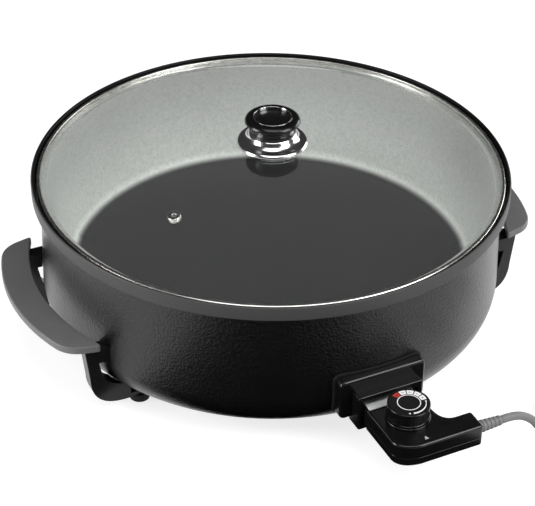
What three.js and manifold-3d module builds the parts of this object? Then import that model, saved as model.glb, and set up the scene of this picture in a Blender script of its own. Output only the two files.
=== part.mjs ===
// Round electric skillet with a lift-off glass lid and a plug-in temperature controller.
// Millimetres, +Z up. The origin is on the pan's axis, at the underside of the base cover.
// The socket and the controller face -Y, the two handles lie along X.

import * as THREE from 'three';
import { mergeVertices } from 'three/addons/utils/BufferGeometryUtils.js';
import Module from 'manifold-3d';

const wasm = await Module();
wasm.setup();

// Fits and resolution
const clearance = 0.3;
const screwPlay = 0.4;
const overrun = 6;
const roundSteps = 44;
const knobSteps = 24;
const rodSteps = 12;
const smallSteps = 8;
const degree = Math.PI / 180;
const quarterTurn = Math.PI / 2;
const halfTurn = Math.PI;
const fullTurn = 2 * Math.PI;

// Bowl
const rimRadius = 210;
const rimWidth = 3;
const rimTop = 137.5;
const rimHeight = 13;
const rimLowerEdge = 1.5;
const ledgeDrop = 8.5;
const ledgeThickness = 2.5;
const ledgeWidth = 11.5;
const bowlWall = 2.5;
const floorTop = 36;
const floorThickness = 3;
const floorInset = 22.5;
const floorFillet = 11;
const ledgeTop = rimTop - ledgeDrop;
const floorUnderside = floorTop - floorThickness;
const rimInner = rimRadius - rimWidth;
const mouthRadius = rimInner - ledgeWidth;
const floorRadius = mouthRadius - floorInset;

// Housing and base cover
const housingInset = 5;
const housingFlare = 3.6;
const housingWall = 0.8;
const housingCorner = 37;
const coverInset = 8.6;
const coverLap = 20;
const coverThickness = 1.2;
const housingBottom = coverThickness + clearance;
const housingTop = ledgeTop - ledgeThickness - clearance;
const housingMouthRadius = rimInner - housingInset;
const housingRadius = housingMouthRadius + housingFlare;
const cornerCentre = housingRadius - housingCorner;
const coverRadius = cornerCentre - coverInset;
const housingOpening = coverRadius - coverLap;

// Base screws and the bosses that take them
const baseScrewCount = 3;
const bossInset = 10;
const bossRadius = 6;
const screwRadius = 2;
const screwHeadRadius = 3.8;
const screwHeadHeight = 2;
const baseScrewReach = 14;
const bossCircle = coverRadius - bossInset;

// Heating element, its plate, clips, pins and insulator
const elementRadius = 3.5;
const elementInset = 17;
const elementBend = 14;
const spreaderThickness = 1.4;
const spreaderGap = 9;
const terminalSpread = 13;
const pinRadius = 2.375;
const insulatorDepth = 8;
const insulatorInset = 15.6;
const pinReach = 31;
const clipThickness = 1.2;
const clipWidth = 12;
const clipFoot = 8;
const spreaderRadius = bossCircle - bossRadius - spreaderGap;
const elementRing = spreaderRadius - elementInset;
const insulatorBack = housingRadius - insulatorInset;
const spreaderTop = floorUnderside - clearance;
const spreaderUnderside = spreaderTop - spreaderThickness;
const heatLine = spreaderUnderside - clearance - elementRadius;

// Temperature probe and its sleeve
const probeRadius = 3;
const sleeveGap = 4;
const sleeveEnd = 3;
const sleeveTip = spreaderRadius + sleeveGap;
const probeTip = sleeveTip + sleeveEnd;
const sleeveRadius = floorUnderside - clearance - heatLine;
const sleeveFront = insulatorBack + insulatorDepth;

// Socket on the front of the housing
const socketHalfWidth = 39.5;
const socketBottom = 23;
const socketTop = 61;
const socketReach = 7.4;
const socketRounding = 5;
const socketEdge = 2.5;
const gasketThickness = 1.5;
const gasketMargin = 1.5;
const blockHalfWidth = 29.5;
const blockBottom = 18.8;
const blockTop = 52;
const blockReach = 13;
const blockRounding = 2;
const blockWall = 4.2;
const mouthTop = 46;
const neckHalfWidth = 21.5;
const neckBottom = 20;
const neckTop = 44.5;
const neckWall = 1;
const neckInset = 9.6;
const windowGap = 0.6;
const socketScrewOffset = 31;
const socketScrewHeight = 46;
const socketFace = housingRadius + socketReach;
const blockFace = socketFace + blockReach;
const neckBack = housingRadius - neckInset;

// Handles, each a band between two arcs that ends a little beyond its legs
const legMiddle = 76;
const fingerGap = 11.4;
const gripWidth = 26.5;
const gripInnerBend = 195;
const gripOuterBend = 190;
const gripOverhang = 12.5;
const gripEndSlant = 6.7;
const gripTop = 64.5;
const gripThickness = 7;
const gripOuterCorner = 14;
const gripInnerCorner = 6;
const gripEdge = 1.6;
const gripInner = housingRadius + fingerGap;
const gripOuter = gripInner + gripWidth;
const gripInnerHalf = legMiddle + gripOverhang;
const gripOuterHalf = gripInnerHalf - gripEndSlant;

// Legs, written for one corner in the plane of its middle
const legThickness = 13;
const legTopOverhang = 4.4;
const legTopWidth = 9;
const legLowOverhang = 1;
const legLowWidth = 11.4;
const legBendTop = 27;
const legBendDrop = 10;
const legBendLean = 2.7;
const legBendFoot = 12;
const legSole = 4;
const legShelf = 3;
const legShelfGap = 1.7;
const legShelfLength = 25;
const legHeel = 30;
const legEdge = 1.2;
const armBottom = 42;
const armTop = 55;
const armReach = 6;
const spigotRadius = 4;
const spigotHeight = 3.5;
const handleScrewReach = 12;
const legTopOuter = housingRadius + legTopOverhang;
const legTopInner = legTopOuter - legTopWidth;
const legOuterLow = housingRadius + legLowOverhang;
const legInnerLow = legOuterLow - legLowWidth;
const legEnd = Math.sqrt((coverRadius + legShelfGap) ** 2 - (legMiddle - legThickness / 2) ** 2);
const legStep = legEnd + legShelfLength;

// Feet
const footRadius = 8.8;
const footInset = 10;
const soleDrop = 11;
const footStemRadius = 2.5;
const footEdge = 1;
const footPlace = legStep - footInset;

// Lid
const lidPlay = 1.5;
const glassThickness = 3;
const lidRimWall = 0.8;
const lidRimTopReach = 3.6;
const lidRimLowReach = 3.2;
const glassApex = 163;
const glassFlatInset = 4.9;
const glassHole = 3;
const ventInset = 70.6;
const ventAngle = 206 * degree;
const ventHole = 3.6;
const ventBore = 2;
const ventFlange = 5.6;
const ventFlangeHeight = 1.2;
const lidRimOuter = rimInner - lidPlay;
const glassFlat = lidRimOuter - glassFlatInset;
const ventCircle = glassFlat - ventInset;
const lidRimBottom = ledgeTop + clearance;
const glassLow = lidRimBottom + lidRimWall + clearance;
const glassRise = glassApex - glassThickness - glassLow;
const domeRadius = (glassFlat ** 2 + glassRise ** 2) / (2 * glassRise);

// Knob
const skirtRadius = 31;
const skirtNeck = 20.8;
const skirtHeight = 10;
const skirtWall = 1.2;
const skirtFlare = 3.3;
const skirtWaistWidening = 1.7;
const skirtWaistRise = 6;
const capLow = 20.3;
const capWaist = 19.4;
const capWaistRise = 2.6;
const capFlareRise = 6.8;
const capWidest = 24.3;
const capWidestRise = 10.5;
const capHeight = 15;
const recessRadius = 17.3;
const recessDepth = 3;
const knobRingWall = 0.8;
const knobScrewRadius = 2.4;
const knobScrewHead = 5;
const knobScrewHeadHeight = 2.5;
const knobScrewBite = 8;
const washerRadius = 9;
const washerThickness = 1.6;

// Controller
const bodyLeft = 25;
const bodyRight = 24.5;
const bodyLength = 55.5;
const bodyTop = 42.5;
const bodyBottom = 22.3;
const bodySeam = 30;
const bodyWall = 2;
const bodyEdge = 1.6;
const bodyCorner = 20;
const armEnd = 51.5;
const armWidth = 20.5;
const armNotchInset = 17;
const armCorner = 3;
const armFilletShare = 0.75;
const cornerShares = { side: 0.72, bulgeX: 0.08, bulgeY: 0.1 };
const collarReach = 4;
const collarShown = 6;
const collarHalfWidth = 24.5;
const collarBottom = 22.5;
const collarTop = 42.3;
const contactWall = 0.9;
const contactSteps = 10;
const contactGap = 7;
const contactDepth = 6;
const probeDepth = 8;
const thermostatHalfWidth = 8;
const thermostatLength = 22;
const thermostatTop = 34;
const frontScrewInset = 7.5;
const frontScrewSetback = 18.5;
const armScrewInset = 12.5;
const collarFront = blockFace - collarReach;
const bodyBack = blockFace + collarShown;
const bodyFront = bodyBack + bodyLength;
const armBack = bodyFront - armWidth;
const armNotch = armBack - armNotchInset;
const contactFront = sleeveFront + contactGap;
const contactBack = bodyBack + contactDepth;
const probeBack = bodyBack + probeDepth;
const thermostatBack = probeBack + thermostatLength;
const controllerScrewPlaces = {
  controller_screw_front: [frontScrewInset - bodyLeft, frontScrewSetback - bodyFront],
  controller_screw_arm: [armEnd - armScrewInset, -(armBack + bodyFront) / 2],
};
const postRadius = 4;
const controllerScrewRadius = 1.5;
const controllerScrewHead = 2.8;
const controllerScrewHeadHeight = 1.6;
const controllerScrewReach = 10;
const counterboreWall = 1.6;

// Dial
const dialX = 1;
const dialSetback = 20.5;
const pedestalRadius = 18.6;
const pedestalHeight = 2.4;
const dialRadius = 17.6;
const dialTop = 58;
const dialEdge = 0.8;
const dialRecess = 0.8;
const dialFaceRadius = 16.4;
const dialFaceThickness = 0.5;
const spindleRadius = 3;
const spindleReach = 6;
const dialY = -bodyBack - dialSetback;

// Strain relief and cord
const cordRadius = 3.5;
const reliefRadius = 5.4;
const reliefTip = 4.3;
const reliefLength = 23.5;
const reliefNeck = 4.2;
const reliefGroove = 0.7;
const reliefRibs = 6;
const ribShare = 0.6;
const reliefY = -(armBack + bodyFront) / 2;
const reliefZ = (bodyBottom + bodyTop) / 2;
const cordSides = 8;
const cordRunPoints = [
  [75.3, -277.25, 32.4],
  [82, -277.25, 32.4],
  [90.3, -277.5, 31.3],
  [98, -278.1, 28.1],
  [104.6, -279, 23],
  [108.2, -279.6, 18.8],
  [112.2, -280.4, 13],
  [116.2, -281.3, 7.3],
  [119.8, -282.2, 3],
  [126.4, -284, -2.1],
  [134.1, -286.6, -5.3],
  [142.4, -289.8, -6.4],
  [148.4, -292.2, -6.4],
];
const cordRunSteps = 26;
const tableLevel = -soleDrop;
const coilX = 188;
const coilY = -258;
const coilStart = 248 * degree;
const coilTurns = 3.25;
const coilInner = 34;
const coilPitch = 7.7;
const coilSides = 6;
const coilStepsPerTurn = 24;
const coilSection = 3.5;
const tieThickness = 0.8;
const tieWidth = 6;
const tieAngle = 160 * degree;
const coilLow = tableLevel + tieThickness + clearance + coilSection;
const tailSteps = 8;

// Plug
const plugX = 242;
const plugRadius = 18.5;
const plugLength = 34;
const plugBoot = 14;
const plugBootRadius = 5.2;
const plugShoulder = 9;
const plugRounding = 3;
const plugPinRadius = 2.4;
const plugPinLength = 19;
const plugPinSpread = 9.5;
const plugZ = tableLevel + plugRadius;
const plugStart = -233;

const finishes = {
  nonStick: new THREE.MeshStandardMaterial({ color: 0x35373a, roughness: 0.55, metalness: 0.1 }),
  texturedBlack: new THREE.MeshStandardMaterial({ color: 0x1a1a1b, roughness: 0.5, metalness: 0.1 }),
  glossBlack: new THREE.MeshStandardMaterial({ color: 0x0c0c0d, roughness: 0.15, metalness: 0 }),
  mattBlack: new THREE.MeshStandardMaterial({ color: 0x232325, roughness: 0.6, metalness: 0 }),
  rubber: new THREE.MeshStandardMaterial({ color: 0x161616, roughness: 0.85, metalness: 0 }),
  glass: new THREE.MeshStandardMaterial({ color: 0xd8dedc, roughness: 0.05, metalness: 0 }),
  steel: new THREE.MeshStandardMaterial({ color: 0xc9cacb, roughness: 0.3, metalness: 1 }),
  chrome: new THREE.MeshStandardMaterial({ color: 0xe4e5e6, roughness: 0.05, metalness: 1 }),
  brass: new THREE.MeshStandardMaterial({ color: 0xc8a45a, roughness: 0.35, metalness: 1 }),
  aluminium: new THREE.MeshStandardMaterial({ color: 0xb9bbbd, roughness: 0.45, metalness: 1 }),
  ceramic: new THREE.MeshStandardMaterial({ color: 0xe7e2d6, roughness: 0.7, metalness: 0 }),
  greyPlastic: new THREE.MeshStandardMaterial({ color: 0x8c8e90, roughness: 0.45, metalness: 0 }),
  cordRubber: new THREE.MeshStandardMaterial({ color: 0x5c5e60, roughness: 0.6, metalness: 0 }),
};

// Geometry tools

function signedVolume(position, index) {
  const a = new THREE.Vector3();
  const b = new THREE.Vector3();
  const c = new THREE.Vector3();
  let volume = 0;
  for (let i = 0; i < index.length; i += 3) {
    a.fromBufferAttribute(position, index[i]);
    b.fromBufferAttribute(position, index[i + 1]);
    c.fromBufferAttribute(position, index[i + 2]);
    volume += a.dot(b.cross(c));
  }
  return volume;
}

// Welds the seams, drops the triangles that fold onto the axis and turns the faces outwards.
function welded(geometry) {
  const bare = geometry.clone();
  for (const name of Object.keys(bare.attributes)) {
    if (name !== 'position') bare.deleteAttribute(name);
  }
  const merged = mergeVertices(bare);
  const kept = [];
  for (let i = 0; i < merged.index.count; i += 3) {
    const [a, b, c] = [0, 1, 2].map((corner) => merged.index.getX(i + corner));
    if (a !== b && b !== c && c !== a) kept.push(a, b, c);
  }
  const outward = signedVolume(merged.attributes.position, kept) > 0;
  merged.setIndex(outward ? kept : kept.reverse());
  merged.computeVertexNormals();
  return merged;
}

function solidOf(geometry) {
  const mesh = welded(geometry);
  return new wasm.Manifold(new wasm.Mesh({
    numProp: 3,
    vertProperties: new Float32Array(mesh.attributes.position.array),
    triVerts: new Uint32Array(mesh.index.array),
  }));
}

function geometryOf(solid) {
  const mesh = solid.getMesh();
  const geometry = new THREE.BufferGeometry();
  geometry.setAttribute('position', new THREE.BufferAttribute(mesh.vertProperties, 3));
  geometry.setIndex(new THREE.BufferAttribute(mesh.triVerts, 1));
  geometry.computeVertexNormals();
  return geometry;
}

function cut(geometry, ...tools) {
  return geometryOf(tools.reduce((left, tool) => left.subtract(solidOf(tool)), solidOf(geometry)));
}

function join(geometry, ...others) {
  return geometryOf(others.reduce((left, other) => left.add(solidOf(other)), solidOf(geometry)));
}

function common(geometry, other) {
  return geometryOf(solidOf(geometry).intersect(solidOf(other)));
}

function mirrored(geometry, signX, signY) {
  return welded(geometry.clone().scale(signX, signY, 1));
}

// A closed profile of [radius, height] points, turned round the Z axis.
function revolve(profile, steps = roundSteps) {
  const points = profile.map(([radius, height]) => new THREE.Vector2(radius, height));
  if (profile[0][0] > 0) points.push(points[0].clone());
  return welded(new THREE.LatheGeometry(points, steps).rotateX(quarterTurn));
}

function arc(centreX, centreY, radius, from, to, steps) {
  return Array.from({ length: steps + 1 }, (_, i) => {
    const angle = from + (to - from) * (i / steps);
    return [centreX + radius * Math.cos(angle), centreY + radius * Math.sin(angle)];
  });
}

function vectors(points) {
  return points.map(([x, y]) => new THREE.Vector2(x, y));
}

function box(x0, x1, y0, y1, z0, z1) {
  const geometry = new THREE.BoxGeometry(x1 - x0, y1 - y0, z1 - z0);
  return geometry.translate((x0 + x1) / 2, (y0 + y1) / 2, (z0 + z1) / 2);
}

function disc(radius, z0, z1, x = 0, y = 0, steps = rodSteps) {
  const geometry = new THREE.CylinderGeometry(radius, radius, z1 - z0, steps);
  return geometry.rotateX(quarterTurn).translate(x, y, (z0 + z1) / 2);
}

// A round bar that runs from y = -front to y = -back.
function rodAlongY(radius, x, z, back, front, steps = rodSteps) {
  const geometry = new THREE.CylinderGeometry(radius, radius, front - back, steps);
  return geometry.translate(x, -(front + back) / 2, z);
}

function roundedRectangle(x0, x1, y0, y1, radius) {
  const shape = new THREE.Shape();
  shape.absarc(x1 - radius, y0 + radius, radius, -quarterTurn, 0);
  shape.absarc(x1 - radius, y1 - radius, radius, 0, quarterTurn);
  shape.absarc(x0 + radius, y1 - radius, radius, quarterTurn, halfTurn);
  shape.absarc(x0 + radius, y0 + radius, radius, halfTurn, halfTurn + quarterTurn);
  shape.closePath();
  return shape;
}

// Extrudes a shape by a height, with its top and bottom edges rounded by edge.
function slab(shape, height, edge = 0, curveSegments = 4, edgeSegments = 1) {
  const settings = {
    depth: height - 2 * edge,
    bevelEnabled: edge > 0,
    bevelThickness: edge,
    bevelSize: edge,
    bevelOffset: -edge,
    bevelSegments: edgeSegments,
    curveSegments,
  };
  return new THREE.ExtrudeGeometry(shape, settings).translate(0, 0, edge);
}

// Stands a shape drawn in X and Z upright, from y = -front backwards by depth.
function uprightSlab(shape, front, depth, edge = 0) {
  return slab(shape, depth, edge).rotateX(quarterTurn).translate(0, depth - front, 0);
}

function tubeAlong(points, radius, sides, steps) {
  const section = new THREE.Shape(vectors(arc(0, 0, radius, 0, fullTurn, sides).slice(0, -1)));
  const route = new THREE.CatmullRomCurve3(points.map((point) => new THREE.Vector3(...point)));
  return new THREE.ExtrudeGeometry(section, { steps, extrudePath: route, bevelEnabled: false });
}

function piece(group, name, geometry, material) {
  const mesh = new THREE.Mesh(welded(geometry), material);
  mesh.name = name;
  group.add(mesh);
  return mesh;
}

// A pan-head screw that points up, its head's bearing face at z = 0.
function screw(radius, headRadius, headHeight, reach) {
  return revolve([
    [0, -headHeight],
    [headRadius - headHeight / 2, -headHeight],
    [headRadius, 0],
    [radius, 0],
    [radius, reach],
    [0, reach],
  ], rodSteps);
}

// Shapes that several pieces share

function housingProfile(growth) {
  const corner = arc(cornerCentre, housingBottom + housingCorner, housingCorner + growth,
    0, -quarterTurn, 6);
  return [[housingMouthRadius + growth, housingTop], ...corner];
}

// The housing's radius where the wall leans in towards its mouth, at the flat of a facet.
function wallRadius(height) {
  const cornerTop = housingBottom + housingCorner;
  const share = (height - cornerTop) / (housingTop - cornerTop);
  const radius = housingRadius + (housingMouthRadius - housingRadius) * share;
  return radius * Math.cos(halfTurn / roundSteps);
}

// How far out a flat screw head can sit inside the wall, at an offset from the pan's middle.
function seatInside(offset, height) {
  const inside = wallRadius(height + screwHeadRadius) - housingWall;
  return Math.sqrt(inside ** 2 - (offset + screwHeadRadius) ** 2) - clearance;
}

// The housing's outside as a full body, grown by a gap, that its neighbours are fitted to.
function housingBody(growth) {
  const outline = [...housingProfile(growth), [0, housingBottom - growth]];
  return revolve([[0, housingTop], ...outline]);
}

function bossPlaces() {
  return Array.from({ length: baseScrewCount }, (_, i) => {
    const angle = quarterTurn + (fullTurn * i) / baseScrewCount;
    return [bossCircle * Math.cos(angle), bossCircle * Math.sin(angle)];
  });
}

// Pan

function bowl() {
  const wallFoot = floorRadius + floorFillet;
  const wallTop = ledgeTop;
  const lean = Math.atan2(mouthRadius - wallFoot, wallTop - floorTop - floorFillet);
  const outerFillet = floorFillet + floorThickness;
  const rimCentre = rimRadius - rimWidth / 2;
  const rimCrown = rimTop - rimWidth / 2;
  const rimBottom = rimTop - rimHeight;
  const ledgeUnderside = ledgeTop - ledgeThickness;
  const filletHeight = floorTop + floorFillet;
  const profile = [
    [0, floorUnderside],
    ...arc(floorRadius, filletHeight, outerFillet, -quarterTurn, -lean, 3),
    [mouthRadius + bowlWall, ledgeUnderside],
    [rimInner, ledgeUnderside],
    [rimInner, rimBottom],
    [rimRadius - rimLowerEdge, rimBottom],
    [rimRadius, rimBottom + rimLowerEdge],
    ...arc(rimCentre, rimCrown, rimWidth / 2, 0, halfTurn, 4),
    [rimInner, ledgeTop],
    [mouthRadius, ledgeTop],
    ...arc(floorRadius, filletHeight, floorFillet, -lean, -quarterTurn, 4),
    [0, floorTop],
  ];
  const bossFoot = housingBottom + housingWall + clearance;
  const holeTop = bossFoot + baseScrewReach;
  let body = revolve(profile);
  for (const [x, y] of bossPlaces()) {
    const boss = disc(bossRadius, bossFoot, floorUnderside + floorThickness / 2, x, y);
    const hole = disc(screwRadius + screwPlay, bossFoot - overrun, holeTop, x, y, smallSteps);
    body = cut(join(body, boss), hole);
  }
  return body;
}

function handleScrewHoles(radius) {
  const height = (armBottom + armTop) / 2;
  const holes = [];
  for (const signX of [-1, 1]) {
    for (const signY of [-1, 1]) {
      const length = 2 * (armReach + handleScrewReach);
      const hole = new THREE.CylinderGeometry(radius, radius, length, smallSteps);
      holes.push(hole.rotateZ(quarterTurn).translate(signX * wallAtLeg(), signY * legMiddle, height));
    }
  }
  return holes;
}

// Where the housing's outside lies, in X, at the middle of a leg.
function wallAtLeg() {
  return Math.sqrt(housingRadius ** 2 - legMiddle ** 2);
}

function housing() {
  const outer = housingProfile(0);
  const inner = housingProfile(-housingWall);
  const profile = [
    ...outer,
    [housingOpening, housingBottom],
    [housingOpening, housingBottom + housingWall],
    ...inner.reverse(),
  ];
  const socketWindow = box(-neckHalfWidth - windowGap, neckHalfWidth + windowGap,
    -socketFace, -neckBack + overrun, neckBottom - windowGap, neckTop + windowGap);
  const baseHoles = bossPlaces().map(([x, y]) => (
    disc(screwRadius + screwPlay, housingBottom - overrun, housingBottom + overrun, x, y, smallSteps)));
  const socketHoles = [-socketScrewOffset, socketScrewOffset].map((x) => (
    rodAlongY(screwRadius + screwPlay, x, socketScrewHeight, neckBack - overrun, socketFace,
      smallSteps)));
  return cut(revolve(profile), socketWindow, ...baseHoles, ...socketHoles,
    ...handleScrewHoles(screwRadius + screwPlay));
}

function baseCover() {
  const holes = bossPlaces().map(([x, y]) => (
    disc(screwRadius + screwPlay, -overrun, coverThickness + overrun, x, y, smallSteps)));
  return cut(disc(coverRadius, 0, coverThickness, 0, 0, roundSteps), ...holes);
}

function addShell(group) {
  piece(group, 'bowl', bowl(), finishes.nonStick);
  piece(group, 'housing', housing(), finishes.texturedBlack);
  piece(group, 'base_cover', baseCover(), finishes.texturedBlack);
  const shape = screw(screwRadius, screwHeadRadius, screwHeadHeight, baseScrewReach);
  bossPlaces().forEach(([x, y], i) => {
    piece(group, `base_screw_${i + 1}`, shape, finishes.steel).position.set(x, y, -clearance);
  });
}

// The tube leaves one terminal, bends into the ring, goes all the way round and comes back.
function elementRoute() {
  const bendX = terminalSpread + elementBend;
  const bendY = -Math.sqrt((elementRing + elementBend) ** 2 - bendX ** 2);
  const ringStart = Math.atan2(bendY, bendX);
  const bendEnd = ringStart + halfTurn;
  const lead = [
    [terminalSpread, -insulatorBack + 2 * clearance],
    [terminalSpread, (bendY - insulatorBack) / 2],
    ...arc(bendX, bendY, elementBend, halfTurn, bendEnd, 3),
  ];
  const ring = arc(0, 0, elementRing, ringStart, halfTurn - ringStart, 32).slice(1, -1);
  const back = lead.map(([x, y]) => [-x, y]).reverse();
  return [...lead, ...ring, ...back].map(([x, y]) => [x, y, heatLine]);
}

function elementClip(signX) {
  const half = elementRadius + clearance;
  const outside = half + clipThickness;
  const bottom = heatLine - outside;
  const top = spreaderUnderside - clearance;
  const shape = new THREE.Shape();
  shape.moveTo(-outside - clipFoot, top);
  shape.lineTo(-outside - clipFoot, top - clipThickness);
  shape.lineTo(-outside, top - clipThickness);
  shape.lineTo(-outside, bottom);
  shape.lineTo(outside, bottom);
  shape.lineTo(outside, top - clipThickness);
  shape.lineTo(outside + clipFoot, top - clipThickness);
  shape.lineTo(outside + clipFoot, top);
  shape.lineTo(half, top);
  shape.lineTo(half, bottom + clipThickness);
  shape.lineTo(-half, bottom + clipThickness);
  shape.lineTo(-half, top);
  shape.closePath();
  return uprightSlab(shape, clipWidth / 2, clipWidth).translate(signX * elementRing, 0, 0);
}

function insulator() {
  const half = neckHalfWidth - neckWall - clearance;
  const body = box(-half, half, -sleeveFront, -insulatorBack,
    neckBottom + neckWall + clearance, neckTop - neckWall - clearance);
  const reach = [insulatorBack - overrun, sleeveFront + overrun];
  return cut(body,
    rodAlongY(sleeveRadius + clearance, 0, heatLine, ...reach),
    rodAlongY(pinRadius + clearance, terminalSpread, heatLine, ...reach),
    rodAlongY(pinRadius + clearance, -terminalSpread, heatLine, ...reach));
}

function probeSleeve() {
  const bore = probeRadius + screwPlay;
  const tube = rodAlongY(sleeveRadius, 0, heatLine, sleeveTip, sleeveFront);
  return cut(tube, rodAlongY(bore, 0, heatLine, probeTip - clearance, sleeveFront + overrun));
}

function addHeater(group) {
  const spreader = disc(spreaderRadius, spreaderUnderside, spreaderTop, 0, 0, roundSteps);
  piece(group, 'heat_spreader', spreader, finishes.aluminium);
  piece(group, 'heating_element', tubeAlong(elementRoute(), elementRadius, 6, 72), finishes.steel);
  piece(group, 'element_clip_left', elementClip(-1), finishes.steel);
  piece(group, 'element_clip_right', elementClip(1), finishes.steel);
  const pinBack = insulatorBack - clearance;
  const pin = rodAlongY(pinRadius, 0, heatLine, pinBack, insulatorBack + pinReach);
  piece(group, 'terminal_pin_left', pin, finishes.steel).position.x = -terminalSpread;
  piece(group, 'terminal_pin_right', pin, finishes.steel).position.x = terminalSpread;
  piece(group, 'terminal_insulator', insulator(), finishes.ceramic);
  piece(group, 'probe_sleeve', probeSleeve(), finishes.aluminium);
}

function socketScrewHoles() {
  return [-socketScrewOffset, socketScrewOffset].map((x) => (
    rodAlongY(screwRadius + screwPlay, x, socketScrewHeight, neckBack, socketFace - socketEdge,
      smallSteps)));
}

function socketGasket() {
  const shape = roundedRectangle(-socketHalfWidth - gasketMargin, socketHalfWidth + gasketMargin,
    socketBottom - gasketMargin, socketTop + gasketMargin, socketRounding + gasketMargin);
  const plate = uprightSlab(shape, socketFace, socketFace - neckBack);
  const hole = box(-neckHalfWidth - windowGap, neckHalfWidth + windowGap, -socketFace - overrun,
    -neckBack + overrun, neckBottom - windowGap, neckTop + windowGap);
  const sheet = common(plate, housingBody(clearance + gasketThickness));
  return cut(sheet, housingBody(clearance), hole, ...socketScrewHoles());
}

function socketShroud() {
  const plateShape = roundedRectangle(-socketHalfWidth, socketHalfWidth, socketBottom, socketTop,
    socketRounding);
  const plate = uprightSlab(plateShape, socketFace, socketFace - neckBack, socketEdge);
  const seated = cut(plate, housingBody(gasketThickness + 2 * clearance));
  const blockShape = roundedRectangle(-blockHalfWidth, blockHalfWidth, blockBottom, blockTop,
    blockRounding);
  const block = uprightSlab(blockShape, blockFace, blockFace - socketFace + socketEdge);
  const neck = box(-neckHalfWidth, neckHalfWidth, -socketFace, -neckBack, neckBottom, neckTop);
  const mouthHalf = blockHalfWidth - blockWall;
  const mouth = box(-mouthHalf, mouthHalf, -blockFace - overrun, -socketFace,
    collarBottom - 3 * clearance, mouthTop);
  const bore = box(-neckHalfWidth + neckWall, neckHalfWidth - neckWall, -blockFace,
    -neckBack + overrun, neckBottom + neckWall, neckTop - neckWall);
  return cut(join(seated, block, neck), mouth, bore, ...socketScrewHoles());
}

function addSocket(group) {
  piece(group, 'socket_gasket', socketGasket(), finishes.rubber);
  piece(group, 'socket_shroud', socketShroud(), finishes.glossBlack);
  const seat = seatInside(socketScrewOffset, socketScrewHeight);
  const reach = socketFace - socketEdge - clearance - seat;
  const shape = screw(screwRadius, screwHeadRadius, screwHeadHeight, reach);
  const pointing = shape.rotateX(quarterTurn);
  for (const [name, side] of [['socket_screw_left', -1], ['socket_screw_right', 1]]) {
    const part = piece(group, name, pointing, finishes.steel);
    part.position.set(side * socketScrewOffset, -seat, socketScrewHeight);
  }
}

// Handles, legs and feet

// A band between two arcs, the inner one the longer, with rounded ends.
function gripShape() {
  const outerCentre = gripOuter - gripOuterBend;
  const innerCentre = gripInner - gripInnerBend;
  const outerTurn = Math.asin(gripOuterHalf / gripOuterBend);
  const innerTurn = Math.asin(gripInnerHalf / gripInnerBend);
  const outerTip = new THREE.Vector2(outerCentre + gripOuterBend * Math.cos(outerTurn), gripOuterHalf);
  const innerTip = new THREE.Vector2(innerCentre + gripInnerBend * Math.cos(innerTurn), gripInnerHalf);
  const along = innerTip.clone().sub(outerTip).normalize();
  const outerStop = outerTurn - gripOuterCorner / gripOuterBend;
  const innerStop = innerTurn - gripInnerCorner / gripInnerBend;
  const outer = vectors(arc(outerCentre, 0, gripOuterBend, 0, outerStop, 4));
  const inner = vectors(arc(innerCentre, 0, gripInnerBend, innerStop, 0, 4));
  const outerBend = new THREE.QuadraticBezierCurve(outer.at(-1), outerTip,
    outerTip.clone().addScaledVector(along, gripOuterCorner));
  const innerBend = new THREE.QuadraticBezierCurve(
    innerTip.clone().addScaledVector(along, -gripInnerCorner), innerTip, inner[0]);
  const side = [...outer, ...outerBend.getPoints(4).slice(1), ...innerBend.getPoints(3), ...inner.slice(1)];
  const other = side.slice(1, -1).reverse().map(({ x, y }) => new THREE.Vector2(x, -y));
  return new THREE.Shape([...side, ...other]);
}

// Where an edge of the grip lies, in X, at the middle of a leg.
function edgeAtLeg(middle, bend) {
  return middle - bend + Math.sqrt(bend ** 2 - legMiddle ** 2);
}

function spigotX() {
  return (edgeAtLeg(gripInner, gripInnerBend) + edgeAtLeg(gripOuter, gripOuterBend)) / 2;
}

function grip() {
  const bottom = gripTop - gripThickness;
  const sockets = [-legMiddle, legMiddle].map((y) => (
    disc(spigotRadius + clearance, bottom - overrun, bottom + spigotHeight, spigotX(), y)));
  const band = slab(gripShape(), gripThickness, gripEdge, 1, 2).translate(0, 0, bottom);
  return cut(band, ...sockets);
}

// The side view of a leg: down from the grip, round under the pan and along its underside.
function legShape() {
  const top = gripTop - gripThickness - clearance;
  const shape = new THREE.Shape();
  const shelf = -legShelf;
  shape.moveTo(legTopOuter, top);
  shape.lineTo(legTopInner, top);
  shape.lineTo(legInnerLow, legBendTop);
  shape.quadraticCurveTo(legInnerLow - legBendLean, legBendTop - legBendDrop, legStep, legBendFoot);
  shape.lineTo(legStep, housingBottom - clearance);
  shape.lineTo(legEnd, housingBottom - clearance);
  shape.lineTo(legEnd, shelf);
  shape.lineTo(legStep, shelf);
  shape.lineTo(legStep, -legSole);
  shape.lineTo(legOuterLow - legHeel, -legSole);
  shape.quadraticCurveTo(legOuterLow, -legSole, legOuterLow, legHeel - legSole);
  shape.closePath();
  return shape;
}

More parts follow.
